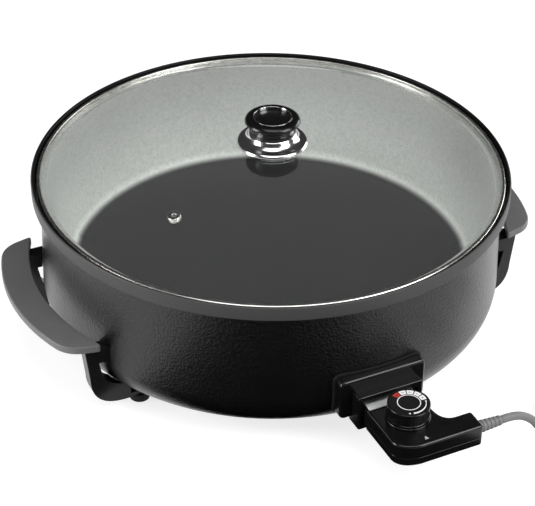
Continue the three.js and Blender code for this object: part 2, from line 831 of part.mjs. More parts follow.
// One leg for the corner with positive X and Y.
function leg() {
  const half = legThickness / 2;
  const column = uprightSlab(legShape(), half, legThickness, legEdge).translate(0, legMiddle, 0);
  const arm = box(wallAtLeg() - overrun, legTopInner + armReach, legMiddle - half, legMiddle + half,
    armBottom, armTop);
  const top = gripTop - gripThickness;
  const spigot = disc(spigotRadius, top - armReach, top + spigotHeight - clearance, spigotX(),
    legMiddle);
  const pad = box(legTopOuter - armReach, spigotX() + spigotRadius, legMiddle - spigotRadius,
    legMiddle + spigotRadius, armTop - armReach, top - clearance);
  const footHole = disc(footStemRadius + screwPlay, -overrun, housingBottom + overrun, footPlace,
    legMiddle, smallSteps);
  const screwHole = new THREE.CylinderGeometry(screwRadius + screwPlay, screwRadius + screwPlay,
    2 * handleScrewReach, smallSteps).rotateZ(quarterTurn)
    .translate(wallAtLeg(), legMiddle, (armBottom + armTop) / 2);
  return cut(join(column, arm, pad, spigot), housingBody(clearance), footHole, screwHole);
}

function foot() {
  return revolve([
    [0, tableLevel],
    [footRadius - footEdge, tableLevel],
    [footRadius, tableLevel + footEdge],
    [footRadius, -legShelf - clearance],
    [footStemRadius, -legShelf - clearance],
    [footStemRadius, 0],
    [0, 0],
  ], rodSteps);
}

function addHandles(group) {
  const rightGrip = grip();
  const cornerLeg = leg();
  const footShape = foot();
  const seat = seatInside(legMiddle, (armBottom + armTop) / 2);
  const reach = wallAtLeg() + handleScrewReach - screwPlay - seat;
  const screwShape = screw(screwRadius, screwHeadRadius, screwHeadHeight, reach).rotateY(quarterTurn);
  for (const [side, signX] of [['left', -1], ['right', 1]]) {
    piece(group, `${side}_handle`, mirrored(rightGrip, signX, 1), finishes.mattBlack);
    for (const [end, signY] of [['front', -1], ['rear', 1]]) {
      const name = `${side}_${end}`;
      piece(group, `${name}_leg`, mirrored(cornerLeg, signX, signY), finishes.glossBlack);
      const sole = piece(group, `${name}_foot`, footShape, finishes.rubber);
      sole.position.set(signX * footPlace, signY * legMiddle, 0);
      const bolt = piece(group, `${name}_handle_screw`, mirrored(screwShape, signX, 1), finishes.steel);
      bolt.position.set(signX * seat, signY * legMiddle, (armBottom + armTop) / 2);
    }
  }
}

// Lid

// Height of the glass's upper face at a distance from the axis.
function domeHeight(radius) {
  return glassApex - domeRadius + Math.sqrt(domeRadius ** 2 - radius ** 2);
}

function tiltedAtVent(geometry) {
  const lean = Math.asin(ventCircle / domeRadius);
  const tilted = geometry.rotateY(lean).translate(ventCircle, 0, domeHeight(ventCircle));
  return tilted.rotateZ(ventAngle);
}

function lidGlass() {
  const rows = 7;
  const upper = Array.from({ length: rows }, (_, i) => (glassFlat * i) / (rows - 1));
  const edge = lidRimOuter - lidRimWall - clearance;
  const flatTop = domeHeight(glassFlat);
  const profile = [
    ...upper.map((radius) => [radius, domeHeight(radius) - glassThickness]),
    [edge, flatTop - glassThickness],
    [edge, flatTop],
    ...upper.map((radius) => [radius, domeHeight(radius)]).reverse(),
  ];
  const knobHole = disc(glassHole, glassApex - glassThickness - overrun, glassApex + overrun);
  const ventCut = tiltedAtVent(disc(ventHole + clearance, -glassThickness - overrun, overrun));
  return cut(revolve(profile), knobHole, ventCut);
}

function lidRim() {
  const edgeBottom = domeHeight(glassFlat) - glassThickness - clearance;
  const edgeTop = domeHeight(glassFlat) + clearance;
  const inside = lidRimOuter - lidRimWall;
  return revolve([
    [lidRimOuter, edgeBottom - lidRimWall],
    [lidRimOuter, edgeTop + lidRimWall / 2],
    [lidRimOuter - lidRimWall / 2, edgeTop + lidRimWall],
    [lidRimOuter - lidRimTopReach, edgeTop + lidRimWall],
    [lidRimOuter - lidRimTopReach, edgeTop],
    [inside, edgeTop],
    [inside, edgeBottom],
    [lidRimOuter - lidRimLowReach, edgeBottom],
    [lidRimOuter - lidRimLowReach, edgeBottom - lidRimWall],
  ]);
}

function ventGrommet() {
  const low = -glassThickness - clearance;
  return tiltedAtVent(revolve([
    [ventBore, low - ventFlangeHeight],
    [ventFlange, low - ventFlangeHeight],
    [ventFlange, low],
    [ventHole, low],
    [ventHole, clearance],
    [ventFlange, clearance],
    [ventFlange - ventFlangeHeight / 2, clearance + ventFlangeHeight],
    [ventBore, clearance + ventFlangeHeight],
  ], rodSteps));
}

function knobSkirt() {
  const base = domeHeight(skirtRadius) + clearance;
  const top = base + skirtHeight;
  const flare = arc(skirtRadius - skirtFlare, base + skirtFlare, skirtFlare, 0, quarterTurn, 3);
  const rise = [skirtNeck + skirtWaistWidening, base + skirtWaistRise];
  const outer = [[skirtRadius, base], ...flare, rise, [skirtNeck, top - skirtWall / 2],
    [skirtNeck - skirtWall / 2, top]];
  const inner = [
    [knobScrewRadius + clearance, top],
    [knobScrewRadius + clearance, top - skirtWall],
    [skirtNeck - skirtWall, top - skirtWall],
    [rise[0] - skirtWall, rise[1] - skirtWall],
    ...flare.map(([radius, height]) => [radius - skirtWall, height - skirtWall]).reverse().slice(0, -1),
    [skirtRadius - skirtWall, base],
  ];
  return revolve([...outer, ...inner], knobSteps);
}

function knobCap() {
  const base = domeHeight(skirtRadius) + 2 * clearance + skirtHeight;
  const widest = base + capWidestRise;
  const top = base + capHeight;
  const shoulder = top - widest;
  const corner = capWidest - recessRadius - knobRingWall;
  const crown = Array.from({ length: 4 }, (_, i) => {
    const angle = (quarterTurn * i) / 3;
    return [capWidest - corner + corner * Math.cos(angle), widest + shoulder * Math.sin(angle)];
  });
  const holeTop = base + knobScrewBite + clearance;
  const profile = [
    [knobScrewRadius + clearance, base],
    [capLow, base],
    [capWaist, base + capWaistRise],
    [(capWaist + capWidest) / 2, base + capFlareRise],
    ...crown,
    [recessRadius, top],
    [recessRadius, top - recessDepth],
    [0, top - recessDepth],
    [0, holeTop],
    [knobScrewRadius + clearance, holeTop],
  ];
  return revolve(profile.reverse(), knobSteps);
}

function addLid(group) {
  const underside = glassApex - glassThickness;
  const skirtTop = domeHeight(skirtRadius) + clearance + skirtHeight;
  const capTop = skirtTop + clearance + capHeight;
  const washerTop = domeHeight(washerRadius) - glassThickness - clearance;
  const washerBottom = washerTop - washerThickness;
  piece(group, 'lid_glass', lidGlass(), finishes.glass);
  piece(group, 'lid_rim', lidRim(), finishes.steel);
  piece(group, 'vent_grommet', ventGrommet(), finishes.steel);
  piece(group, 'knob_skirt', knobSkirt(), finishes.chrome);
  piece(group, 'knob_cap', knobCap(), finishes.glossBlack);
  piece(group, 'knob_ring', revolve([
    [recessRadius - clearance, capTop - recessDepth + clearance],
    [recessRadius - clearance, capTop],
    [recessRadius - clearance - knobRingWall, capTop],
    [recessRadius - clearance - knobRingWall, capTop - recessDepth + clearance],
  ], knobSteps), finishes.chrome);
  piece(group, 'knob_washer', revolve([
    [knobScrewRadius + clearance, washerBottom],
    [washerRadius, washerBottom],
    [washerRadius, washerTop],
    [knobScrewRadius + clearance, washerTop],
  ], rodSteps), finishes.rubber);
  const reach = skirtTop + clearance + knobScrewBite - washerBottom;
  const screwShape = screw(knobScrewRadius, knobScrewHead, knobScrewHeadHeight, reach);
  const bolt = piece(group, 'knob_screw', screwShape, finishes.steel);
  bolt.position.z = washerBottom - clearance;
}

// Controller

// The plan of the controller: a square body behind the dial and an arm for the cord.
function controllerPlan(inset) {
  const left = -bodyLeft + inset;
  const right = bodyRight - inset;
  const back = -bodyBack - inset;
  const front = -bodyFront + inset;
  const end = armEnd - inset;
  const armRear = -armBack - inset;
  const notch = -armNotch - inset;
  const corner = bodyCorner - inset;
  const shape = new THREE.Shape();
  shape.moveTo(left, back);
  shape.lineTo(left, front + corner * cornerShares.side);
  shape.quadraticCurveTo(left + corner * cornerShares.bulgeX, front + corner * cornerShares.bulgeY,
    left + corner, front);
  shape.lineTo(end - armCorner, front);
  shape.quadraticCurveTo(end, front, end, front + armCorner);
  shape.lineTo(end, armRear - armCorner);
  shape.quadraticCurveTo(end, armRear, end - armCorner, armRear);
  shape.lineTo(right + (notch - armRear) * armFilletShare, armRear);
  shape.quadraticCurveTo(right, armRear, right, notch);
  shape.lineTo(right, back);
  shape.closePath();
  return shape;
}

function controllerBlock(inset, bottom, top, edge) {
  return slab(controllerPlan(inset), top - bottom, edge, 4, 2).translate(0, 0, bottom);
}

// Everything that passes through the shells near their seam.
function controllerPassages() {
  const from = collarFront - overrun;
  const contact = pinRadius + clearance + contactWall + clearance;
  const relief = new THREE.CylinderGeometry(reliefNeck + clearance, reliefNeck + clearance,
    2 * overrun, rodSteps).rotateZ(quarterTurn).translate(armEnd, reliefY, reliefZ);
  return [
    rodAlongY(probeRadius + clearance, 0, heatLine, from, probeBack),
    rodAlongY(contact, terminalSpread, heatLine, from, contactBack),
    rodAlongY(contact, -terminalSpread, heatLine, from, contactBack),
    relief,
  ];
}

function controllerTop() {
  const shell = controllerBlock(0, bodyBottom, bodyTop, bodyEdge);
  const upper = common(shell, box(-bodyLeft - overrun, armEnd + overrun, -bodyFront - overrun,
    -bodyBack + overrun, bodySeam + clearance / 2, bodyTop + overrun));
  const hollow = controllerBlock(bodyWall, bodyBottom - overrun, bodyTop - bodyWall, 0);
  const pedestal = disc(pedestalRadius, bodyTop - bodyWall / 2, bodyTop + pedestalHeight,
    dialX, dialY, knobSteps);
  const shaftHole = disc(spindleRadius + clearance, bodySeam, bodyTop + overrun, dialX, dialY);
  let body = join(cut(upper, hollow), pedestal);
  for (const [x, y] of Object.values(controllerScrewPlaces)) {
    const post = disc(postRadius, bodySeam + clearance / 2, bodyTop - bodyWall / 2, x, y);
    const holeTop = bodyBottom + controllerScrewHeadHeight + 2 * clearance + controllerScrewReach;
    const hole = disc(controllerScrewRadius + clearance, bodySeam - overrun, holeTop + clearance, x, y);
    body = cut(join(body, post), hole);
  }
  return cut(body, shaftHole, ...controllerPassages());
}

function controllerBottom() {
  const shell = controllerBlock(0, bodyBottom, bodyTop, bodyEdge);
  const lower = common(shell, box(-bodyLeft - overrun, armEnd + overrun, -bodyFront - overrun,
    -bodyBack + overrun, bodyBottom - overrun, bodySeam - clearance / 2));
  const hollow = controllerBlock(bodyWall, bodyBottom + bodyWall, bodyTop, 0);
  const seat = bodyBottom + controllerScrewHeadHeight + 2 * clearance;
  let body = cut(lower, hollow);
  for (const [x, y] of Object.values(controllerScrewPlaces)) {
    const post = disc(postRadius + counterboreWall, bodyBottom + bodyWall / 2,
      bodySeam - clearance / 2, x, y);
    const bore = disc(controllerScrewHead + clearance, bodyBottom - overrun, seat, x, y);
    const hole = disc(controllerScrewRadius + clearance, bodyBottom, bodySeam + overrun, x, y);
    body = cut(join(body, post), bore, hole);
  }
  return cut(body, ...controllerPassages());
}

function collar() {
  const shape = roundedRectangle(-collarHalfWidth, collarHalfWidth, collarBottom, collarTop,
    blockRounding);
  const back = bodyBack - clearance;
  const body = uprightSlab(shape, back, back - collarFront);
  const reach = [collarFront - overrun, bodyBack + overrun];
  const contact = pinRadius + clearance + contactWall + clearance;
  return cut(body,
    rodAlongY(probeRadius + clearance, 0, heatLine, ...reach),
    rodAlongY(contact, terminalSpread, heatLine, ...reach),
    rodAlongY(contact, -terminalSpread, heatLine, ...reach));
}

function contact() {
  const bore = pinRadius + clearance;
  const tube = rodAlongY(bore + contactWall, 0, heatLine, contactFront, contactBack - clearance,
    contactSteps);
  return cut(tube, rodAlongY(bore, 0, heatLine, contactFront - overrun,
    insulatorBack + pinReach + overrun, contactSteps));
}

function strainRelief() {
  const inside = armEnd - bodyWall;
  const ribPitch = (reliefLength - clearance) / reliefRibs;
  const start = armEnd + clearance;
  const profile = [[0, inside - bodyWall], [reliefRadius, inside - bodyWall],
    [reliefRadius, inside - clearance], [reliefNeck, inside - clearance], [reliefNeck, start]];
  for (let i = 0; i < reliefRibs; i += 1) {
    const radius = reliefRadius + (reliefTip - reliefRadius) * (i / (reliefRibs - 1));
    const x = start + ribPitch * i;
    profile.push([radius, x], [radius, x + ribPitch * ribShare]);
    profile.push([radius - reliefGroove, x + ribPitch * ribShare]);
    profile.push([radius - reliefGroove, x + ribPitch]);
  }
  profile.push([0, start + ribPitch * reliefRibs]);
  return revolve(profile, smallSteps).rotateY(quarterTurn).translate(0, reliefY, reliefZ);
}

function addController(group) {
  piece(group, 'controller_top', controllerTop(), finishes.glossBlack);
  piece(group, 'controller_bottom', controllerBottom(), finishes.glossBlack);
  piece(group, 'controller_collar', collar(), finishes.greyPlastic);
  const probe = rodAlongY(probeRadius, 0, heatLine, probeTip, probeBack - clearance);
  piece(group, 'temperature_probe', probe, finishes.steel);
  piece(group, 'contact_left', contact(), finishes.brass).position.x = -terminalSpread;
  piece(group, 'contact_right', contact(), finishes.brass).position.x = terminalSpread;
  const floor = bodyBottom + bodyWall + clearance;
  piece(group, 'thermostat', box(-thermostatHalfWidth, thermostatHalfWidth, -thermostatBack,
    -probeBack, floor, thermostatTop), finishes.ceramic);
  const screwShape = screw(controllerScrewRadius, controllerScrewHead, controllerScrewHeadHeight,
    controllerScrewReach);
  const seat = bodyBottom + controllerScrewHeadHeight + clearance;
  for (const [name, [x, y]] of Object.entries(controllerScrewPlaces)) {
    piece(group, name, screwShape, finishes.steel).position.set(x, y, seat);
  }
  piece(group, 'strain_relief', strainRelief(), finishes.cordRubber);
}

function addDial(group) {
  const base = bodyTop + pedestalHeight + clearance;
  const knob = revolve([
    [0, base],
    [dialRadius, base],
    [dialRadius, dialTop - dialEdge],
    [dialRadius - dialEdge, dialTop],
    [dialFaceRadius + clearance, dialTop],
    [dialFaceRadius + clearance, dialTop - dialRecess],
    [0, dialTop - dialRecess],
  ], knobSteps);
  const shaftTop = base + spindleReach;
  const shaftHole = disc(spindleRadius + clearance, base - overrun, shaftTop + clearance);
  piece(group, 'dial_knob', cut(knob, shaftHole), finishes.glossBlack);
  const faceBottom = dialTop - dialRecess + clearance;
  const face = disc(dialFaceRadius, faceBottom, faceBottom + dialFaceThickness, 0, 0, knobSteps);
  piece(group, 'dial_face', face, finishes.mattBlack);
  const shaft = disc(spindleRadius, thermostatTop + clearance, shaftTop);
  piece(group, 'dial_spindle', shaft, finishes.steel);
  group.position.set(dialX, dialY, 0);
}

// Cord

// The loops spiral in on the lower layer, climb in half a turn, and spiral out on the upper one.
function coilRoute() {
  const total = coilTurns * fullTurn;
  const steps = Math.round(coilTurns * coilStepsPerTurn);
  const points = [];
  for (let i = 0; i <= steps; i += 1) {
    const turned = (total * i) / steps;
    const fromMiddle = turned - total / 2;
    const radius = coilInner + (coilPitch * Math.abs(fromMiddle)) / fullTurn;
    const rise = coilPitch * THREE.MathUtils.smoothstep(fromMiddle, -quarterTurn, quarterTurn);
    const angle = coilStart + turned;
    points.push(new THREE.Vector3(coilX + radius * Math.cos(angle),
      coilY + radius * Math.sin(angle), coilLow + rise));
  }
  const before = points[0].clone().sub(points[1]).setLength(2 * cordRadius).add(points[0]);
  const last = points[points.length - 1];
  const after = last.clone().sub(points[points.length - 2]).setLength(2 * cordRadius).add(last);
  return [before, ...points, after];
}

// The least distance between two stretches of the coil that lie over half a turn apart.
function coilGap(route) {
  const apart = coilStepsPerTurn / 2;
  let least = Infinity;
  for (let i = 0; i < route.length; i += 1) {
    for (let j = i + apart; j < route.length; j += 1) {
      least = Math.min(least, route[i].distanceTo(route[j]) - 2 * coilSection);
    }
  }
  return least;
}

// One tube with flat ends, its rings square to the route.
function coilTube(route) {
  const up = new THREE.Vector3(0, 0, 1);
  const positions = [];
  const index = [];
  route.forEach((point, i) => {
    const ahead = route[Math.min(i + 1, route.length - 1)];
    const behind = route[Math.max(i - 1, 0)];
    const along = ahead.clone().sub(behind).normalize();
    const side = along.clone().cross(up).normalize();
    const over = side.clone().cross(along);
    for (const [x, y] of arc(0, 0, coilSection, 0, fullTurn, coilSides).slice(0, -1)) {
      positions.push(...point.clone().addScaledVector(side, x).addScaledVector(over, y).toArray());
    }
  });
  const last = (route.length - 1) * coilSides;
  for (let ring = 0; ring < last; ring += coilSides) {
    for (let k = 0; k < coilSides; k += 1) {
      const next = (k + 1) % coilSides;
      index.push(ring + k, ring + next, ring + coilSides + k);
      index.push(ring + next, ring + coilSides + next, ring + coilSides + k);
    }
  }
  for (let k = 1; k < coilSides - 1; k += 1) {
    index.push(0, k + 1, k);
    index.push(last, last + k, last + k + 1);
  }
  const geometry = new THREE.BufferGeometry();
  geometry.setAttribute('position', new THREE.Float32BufferAttribute(positions, 3));
  geometry.setIndex(index);
  return geometry;
}

// A closed band round the turns where they pass the tie's angle.
function cordTie() {
  const total = coilTurns * fullTurn;
  const outermost = coilInner + (coilPitch * coilTurns) / 2;
  const low = coilLow - coilSection - clearance;
  const high = coilLow + coilPitch + coilSection + clearance;
  const inside = coilInner - coilSection - clearance;
  const outside = outermost - coilPitch / (total / quarterTurn) + coilSection + clearance;
  const shape = roundedRectangle(inside - tieThickness, outside + tieThickness,
    low - tieThickness, high + tieThickness, tieThickness + clearance);
  shape.holes.push(roundedRectangle(inside, outside, low, high, clearance));
  const band = uprightSlab(shape, tieWidth / 2, tieWidth);
  return band.rotateZ(tieAngle).translate(coilX, coilY, 0);
}

function plug() {
  const profile = [
    [0, 0],
    [cordRadius + clearance, 0],
    [plugBootRadius, plugBoot / 2],
    [plugBootRadius, plugBoot],
    [plugRadius - plugRounding, plugBoot + plugShoulder],
    [plugRadius, plugBoot + plugShoulder + plugRounding],
    [plugRadius, plugBoot + plugLength],
    [0, plugBoot + plugLength],
  ];
  return revolve(profile, 24).rotateX(-quarterTurn);
}

function addCord(group) {
  const route = coilRoute();
  console.log(`least gap between the coil's turns: ${coilGap(route).toFixed(2)} mm`);
  const entry = route[0];
  const leave = route[route.length - 1];
  const arriving = entry.clone().sub(route[1]).normalize();
  const leaving = leave.clone().sub(route[route.length - 2]).normalize();
  const meet = entry.clone().addScaledVector(arriving, clearance);
  const approach = entry.clone().addScaledVector(arriving, 3 * cordRadius);
  const runEnd = [approach.toArray(), meet.toArray()];
  piece(group, 'cord_run', tubeAlong([...cordRunPoints, ...runEnd], cordRadius, cordSides,
    cordRunSteps), finishes.cordRubber);
  piece(group, 'cord_coil', coilTube(route), finishes.cordRubber);
  piece(group, 'cord_tie', cordTie(), finishes.mattBlack);
  const tailStart = leave.clone().addScaledVector(leaving, clearance);
  const tailNext = leave.clone().addScaledVector(leaving, 3 * cordRadius);
  const plugEntry = [plugX, plugStart - clearance, plugZ];
  const plugApproach = [plugX, plugStart - 3 * cordRadius, plugZ];
  piece(group, 'cord_tail', tubeAlong([tailStart.toArray(), tailNext.toArray(), plugApproach,
    plugEntry], cordRadius, cordSides, tailSteps), finishes.cordRubber);
  piece(group, 'plug', plug(), finishes.mattBlack).position.set(plugX, plugStart, plugZ);
  const pin = disc(plugPinRadius, 0, plugPinLength).rotateX(-quarterTurn);
  [-plugPinSpread, plugPinSpread].forEach((offset, i) => {
    const metal = piece(group, `plug_pin_${i + 1}`, pin, finishes.brass);
    metal.position.set(plugX + offset, plugStart + plugBoot + plugLength + clearance, plugZ);
  });
}

const skillet = new THREE.Group();
const pan = new THREE.Group();
const lid = new THREE.Group();
const controller = new THREE.Group();
const dial = new THREE.Group();
const cord = new THREE.Group();
addShell(pan);
addHeater(pan);
addSocket(pan);
addHandles(pan);
addLid(lid);
addController(controller);
addDial(dial);
addCord(cord);
controller.add(dial, cord);
skillet.add(pan, lid, controller);

export default skillet;
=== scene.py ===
"""A round electric skillet: a black pan on four legs, a domed glass lid and a plug-in controller.

Sizes are in millimetres, +Z up, with the origin on the pan's axis at the underside of the base
cover. The socket and the controller face -Y, and the two grips lie along X.
"""

from __future__ import annotations

import logging
import math
from collections.abc import Sequence
from dataclasses import dataclass, field
from enum import Enum
from typing import Any

import bmesh
import bpy
from mathutils import Matrix, Vector

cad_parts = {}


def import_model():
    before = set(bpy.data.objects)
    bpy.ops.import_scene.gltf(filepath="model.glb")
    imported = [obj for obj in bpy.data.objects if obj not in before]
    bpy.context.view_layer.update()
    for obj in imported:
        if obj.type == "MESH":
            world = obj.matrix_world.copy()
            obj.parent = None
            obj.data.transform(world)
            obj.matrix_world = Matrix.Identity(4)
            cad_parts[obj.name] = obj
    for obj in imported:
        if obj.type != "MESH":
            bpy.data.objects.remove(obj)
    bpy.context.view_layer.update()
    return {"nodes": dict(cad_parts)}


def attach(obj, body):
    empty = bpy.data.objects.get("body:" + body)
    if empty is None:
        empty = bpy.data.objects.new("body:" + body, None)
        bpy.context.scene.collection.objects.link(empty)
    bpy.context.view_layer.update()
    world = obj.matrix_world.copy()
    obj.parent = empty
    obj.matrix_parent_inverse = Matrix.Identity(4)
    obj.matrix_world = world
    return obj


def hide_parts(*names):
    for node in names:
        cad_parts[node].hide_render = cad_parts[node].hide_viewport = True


LOG = logging.getLogger("skillet")
MM = 0.001
CLEARANCE = 0.3  # between neighbouring pieces
OVERRUN = 6.0  # how far a cutter reaches past what it cuts
ROUND_STEPS = 160
SMALL_STEPS = 64
GLASS_ROWS = 24
TABLE = -11.0  # the level that the feet and the cord's coil are on
SIDES = (("left", -1), ("right", 1))

Point = tuple[float, float]
Colour = tuple[float, float, float, float]


class Body(Enum):
    """The bodies that the joints move."""

    PAN = "pan"
    LID = "lid"
    CONTROLLER = "controller"
    DIAL = "dial"


class Slot(Enum):
    """The material slots."""

    NON_STICK = "non_stick"
    TEXTURED_BLACK = "textured_black"
    GLOSS_BLACK = "gloss_black"
    MATT_BLACK = "matt_black"
    RUBBER = "rubber"
    GLASS = "glass"
    STEEL = "steel"
    CHROME = "chrome"
    BRASS = "brass"
    ALUMINIUM = "aluminium"
    CERAMIC = "ceramic"
    GREY_PLASTIC = "grey_plastic"
    CORD_RUBBER = "cord_rubber"


class Join(Enum):
    """The ways that one form changes another."""

    ADD = "UNION"
    CUT = "DIFFERENCE"
    KEEP_COMMON = "INTERSECT"


# Outlines


def spot(radius: float, degrees: float, centre: Point = (0.0, 0.0)) -> Point:
    """The point of a circle at an angle."""
    angle = math.radians(degrees)
    return (centre[0] + radius * math.cos(angle), centre[1] + radius * math.sin(angle))


def arc(centre: Point, radius: float, start: float, end: float, steps: int = 12) -> list[Point]:
    """Points along a circle's arc.

    Args:
        centre: the circle's middle.
        radius: its radius.
        start: the first angle, in degrees.
        end: the last angle, in degrees.
        steps: how many stretches lie between the points.

    Returns:
        The points, both ends included.
    """
    return [spot(radius, start + (end - start) * i / steps, centre) for i in range(steps + 1)]


def bend(
    start: Sequence[float], pull: Sequence[float], end: Sequence[float], steps: int = 10
) -> list[Point]:
    """Points along a quadratic curve, without its first point.

    Args:
        start: where the curve starts.
        pull: the point that it bends towards.
        end: where it ends.
        steps: how many stretches it has.

    Returns:
        The points after the first one.
    """
    points = []
    for i in range(1, steps + 1):
        t = i / steps
        a, b, c = (1 - t) ** 2, 2 * t * (1 - t), t**2
        points.append(tuple(a * s + b * p + c * e for s, p, e in zip(start, pull, end)))
    return points


def rounded(corners: Sequence[tuple[float, float, float]], steps: int = 6) -> list[Point]:
    """An outline with its corners rounded.

    Args:
        corners: each corner's place and the radius that it is rounded by, 0 for a sharp one.
        steps: how many stretches a round corner has.

    Returns:
        The outline's points in the same order.
    """
    points: list[Point] = []
    count = len(corners)
    for i, (x, y, radius) in enumerate(corners):
        here = Vector((x, y))
        if radius == 0:
            points.append((x, y))
            continue
        to_last = (Vector(corners[i - 1][:2]) - here).normalized()
        to_next = (Vector(corners[(i + 1) % count][:2]) - here).normalized()
        half = to_last.angle(to_next) / 2
        centre = here + (to_last + to_next).normalized() * (radius / math.sin(half))
        first = here + to_last * (radius / math.tan(half)) - centre
        last = here + to_next * (radius / math.tan(half)) - centre
        turn = first.angle_signed(last)
        for step in range(steps + 1):
            spoke = first.copy()
            spoke.rotate(Matrix.Rotation(-turn * step / steps, 2))
            points.append(tuple(centre + spoke))
    return points


def rectangle(x0: float, x1: float, y0: float, y1: float, radius: float) -> list[Point]:
    """A rectangle's outline with all four corners rounded by radius."""
    return rounded([(x0, y0, radius), (x1, y0, radius), (x1, y1, radius), (x0, y1, radius)])


# Forms


class Form:
    """A solid that is shaped step by step in millimetres and then made an object."""

    def __init__(self) -> None:
        """Starts an empty form."""
        self.bm = bmesh.new()
        self.flat_faced = False

    @classmethod
    def lathe(cls, profile: Sequence[Point], steps: int = ROUND_STEPS) -> Form:
        """Turns a profile once round the Z axis.

        Args:
            profile: points of radius and height, which end on the axis or else close.
            steps: how many stretches the turn has.

        Returns:
            The turned form.
        """
        form = cls()
        verts = [form.bm.verts.new((radius, 0.0, height)) for radius, height in profile]
        on_axis = profile[0][0] == 0 and profile[-1][0] == 0
        follow = verts[1:] if on_axis else verts[1:] + verts[:1]
        edges = [form.bm.edges.new(pair) for pair in zip(verts, follow)]
        bmesh.ops.spin(
            form.bm, geom=verts + edges, cent=(0, 0, 0), axis=(0, 0, 1), dvec=(0, 0, 0),
            angle=math.tau, steps=steps, use_merge=True, use_duplicate=False,
        )
        return form.sealed()

    @classmethod
    def slab(
        cls, outline: Sequence[Point], low: float, high: float,
        top_edge: float = 0.0, bottom_edge: float = 0.0, segments: int = 4,
    ) -> Form:
        """Raises an outline from one height to another and rounds its edges.

        Args:
            outline: points of X and Y.
            low: the bottom's height.
            high: the top's height.
            top_edge: how far the top's edges are rounded.
            bottom_edge: how far the bottom's edges are rounded.
            segments: how many strips each rounding has.

        Returns:
            The slab.
        """
        form = cls()
        face = form.bm.faces.new([form.bm.verts.new((x, y, low)) for x, y in outline])
        raised = bmesh.ops.extrude_face_region(form.bm, geom=[face])["geom"]
        upper = [part for part in raised if isinstance(part, bmesh.types.BMVert)]
        bmesh.ops.translate(form.bm, verts=upper, vec=(0, 0, high - low))
        form.sealed()
        for height, edge in ((high, top_edge), (low, bottom_edge)):
            if edge > 0:
                form.bevelled(height, edge, segments)
        return form

    @classmethod
    def upright(
        cls, outline: Sequence[Point], front: float, back: float,
        front_edge: float = 0.0, back_edge: float = 0.0, segments: int = 4,
    ) -> Form:
        """A slab whose outline of X and Z stands upright, from y = front back to y = back."""
        return cls.slab(outline, -back, -front, front_edge, back_edge, segments).turned(90, "X")

    @classmethod
    def box(cls, x: Point, y: Point, z: Point) -> Form:
        """A plain box between two values along each axis, for cutting with."""
        form = cls()
        bmesh.ops.create_cube(form.bm, size=1.0)
        form.scaled(x[1] - x[0], y[1] - y[0], z[1] - z[0])
        return form.moved((x[0] + x[1]) / 2, (y[0] + y[1]) / 2, (z[0] + z[1]) / 2)

    @classmethod
    def rod(
        cls, radius: float, length: float, tip: float = 0.0, bore: Point | None = None,
        steps: int = SMALL_STEPS,
    ) -> Form:
        """A round bar up the Z axis from 0, with a rounded far end.

        Args:
            radius: the bar's radius.
            length: its length.
            tip: the radius that its far edge is rounded by.
            bore: the radius and depth of a hole in the near end.
            steps: how many sides it has.

        Returns:
            The bar.
        """
        far_edge = arc((radius - tip, length - tip), tip, 0, 90, 6) if tip else [(radius, length)]
        profile = [(radius, 0.0), *far_edge, (0.0, length)]
        if bore is None:
            return cls.lathe([(0.0, 0.0), *profile], steps)
        return cls.lathe([(0.0, bore[1]), bore, (bore[0], 0.0), *profile], steps)

    def sealed(self) -> Form:
        """Merges doubled points and turns the faces outwards."""
        bmesh.ops.remove_doubles(self.bm, verts=self.bm.verts[:], dist=MM / 5)
        bmesh.ops.recalc_face_normals(self.bm, faces=self.bm.faces[:])
        return self

    def bevelled(self, height: float, offset: float, segments: int) -> None:
        """Rounds the edges that lie flat at a height.

        Args:
            height: the height.
            offset: how far the rounding reaches.
            segments: how many strips it has.
        """
        edges = [edge for edge in self.bm.edges
                 if all(abs(vert.co.z - height) < MM for vert in edge.verts)]
        bmesh.ops.bevel(self.bm, geom=edges, offset=offset, segments=segments, profile=0.5,
                        affect="EDGES", material=-1, clamp_overlap=True)
        self.flat_faced = True

    def moved(self, x: float = 0.0, y: float = 0.0, z: float = 0.0) -> Form:
        """Shifts the form."""
        bmesh.ops.translate(self.bm, verts=self.bm.verts[:], vec=(x, y, z))
        return self

    def turned(self, degrees: float, axis: str = "Z") -> Form:
        """Turns the form about the origin."""
        turn = Matrix.Rotation(math.radians(degrees), 3, axis)
        bmesh.ops.rotate(self.bm, verts=self.bm.verts[:], cent=(0, 0, 0), matrix=turn)
        return self

    def scaled(self, x: float, y: float, z: float) -> Form:
        """Stretches the form away from the origin."""
        bmesh.ops.scale(self.bm, vec=(x, y, z), verts=self.bm.verts[:])
        return self

    def mirrored(self, x: float, y: float = 1.0) -> Form:
        """Mirrors the form in X, in Y or in both, where that factor is -1."""
        self.scaled(x, y, 1.0)
        if x * y < 0:
            bmesh.ops.reverse_faces(self.bm, faces=self.bm.faces[:])
        return self

    def in_metres(self) -> Form:
        """Scales the form, which is shaped in millimetres, to the scene's metres."""
        return self.scaled(MM, MM, MM)

    def combined(self, other: Form, kind: Join) -> None:
        """Adds or cuts another form, which is used up.

        Args:
            other: the other form.
            kind: what is done with it.
        """
        base, tool = self.as_object("base"), other.as_object("tool")
        modifier = base.modifiers.new("Combine", "BOOLEAN")
        modifier.operation = kind.value
        modifier.solver = "EXACT"
        modifier.object = tool
        depsgraph = bpy.context.evaluated_depsgraph_get()
        result = bpy.data.meshes.new_from_object(base.evaluated_get(depsgraph))
        self.bm = bmesh.new()
        self.bm.from_mesh(result)
        for mesh in (result, base.data, tool.data):
            bpy.data.meshes.remove(mesh)
        bmesh.ops.dissolve_degenerate(self.bm, dist=MM / 5, edges=self.bm.edges[:])
        self.flat_faced = self.flat_faced or other.flat_faced

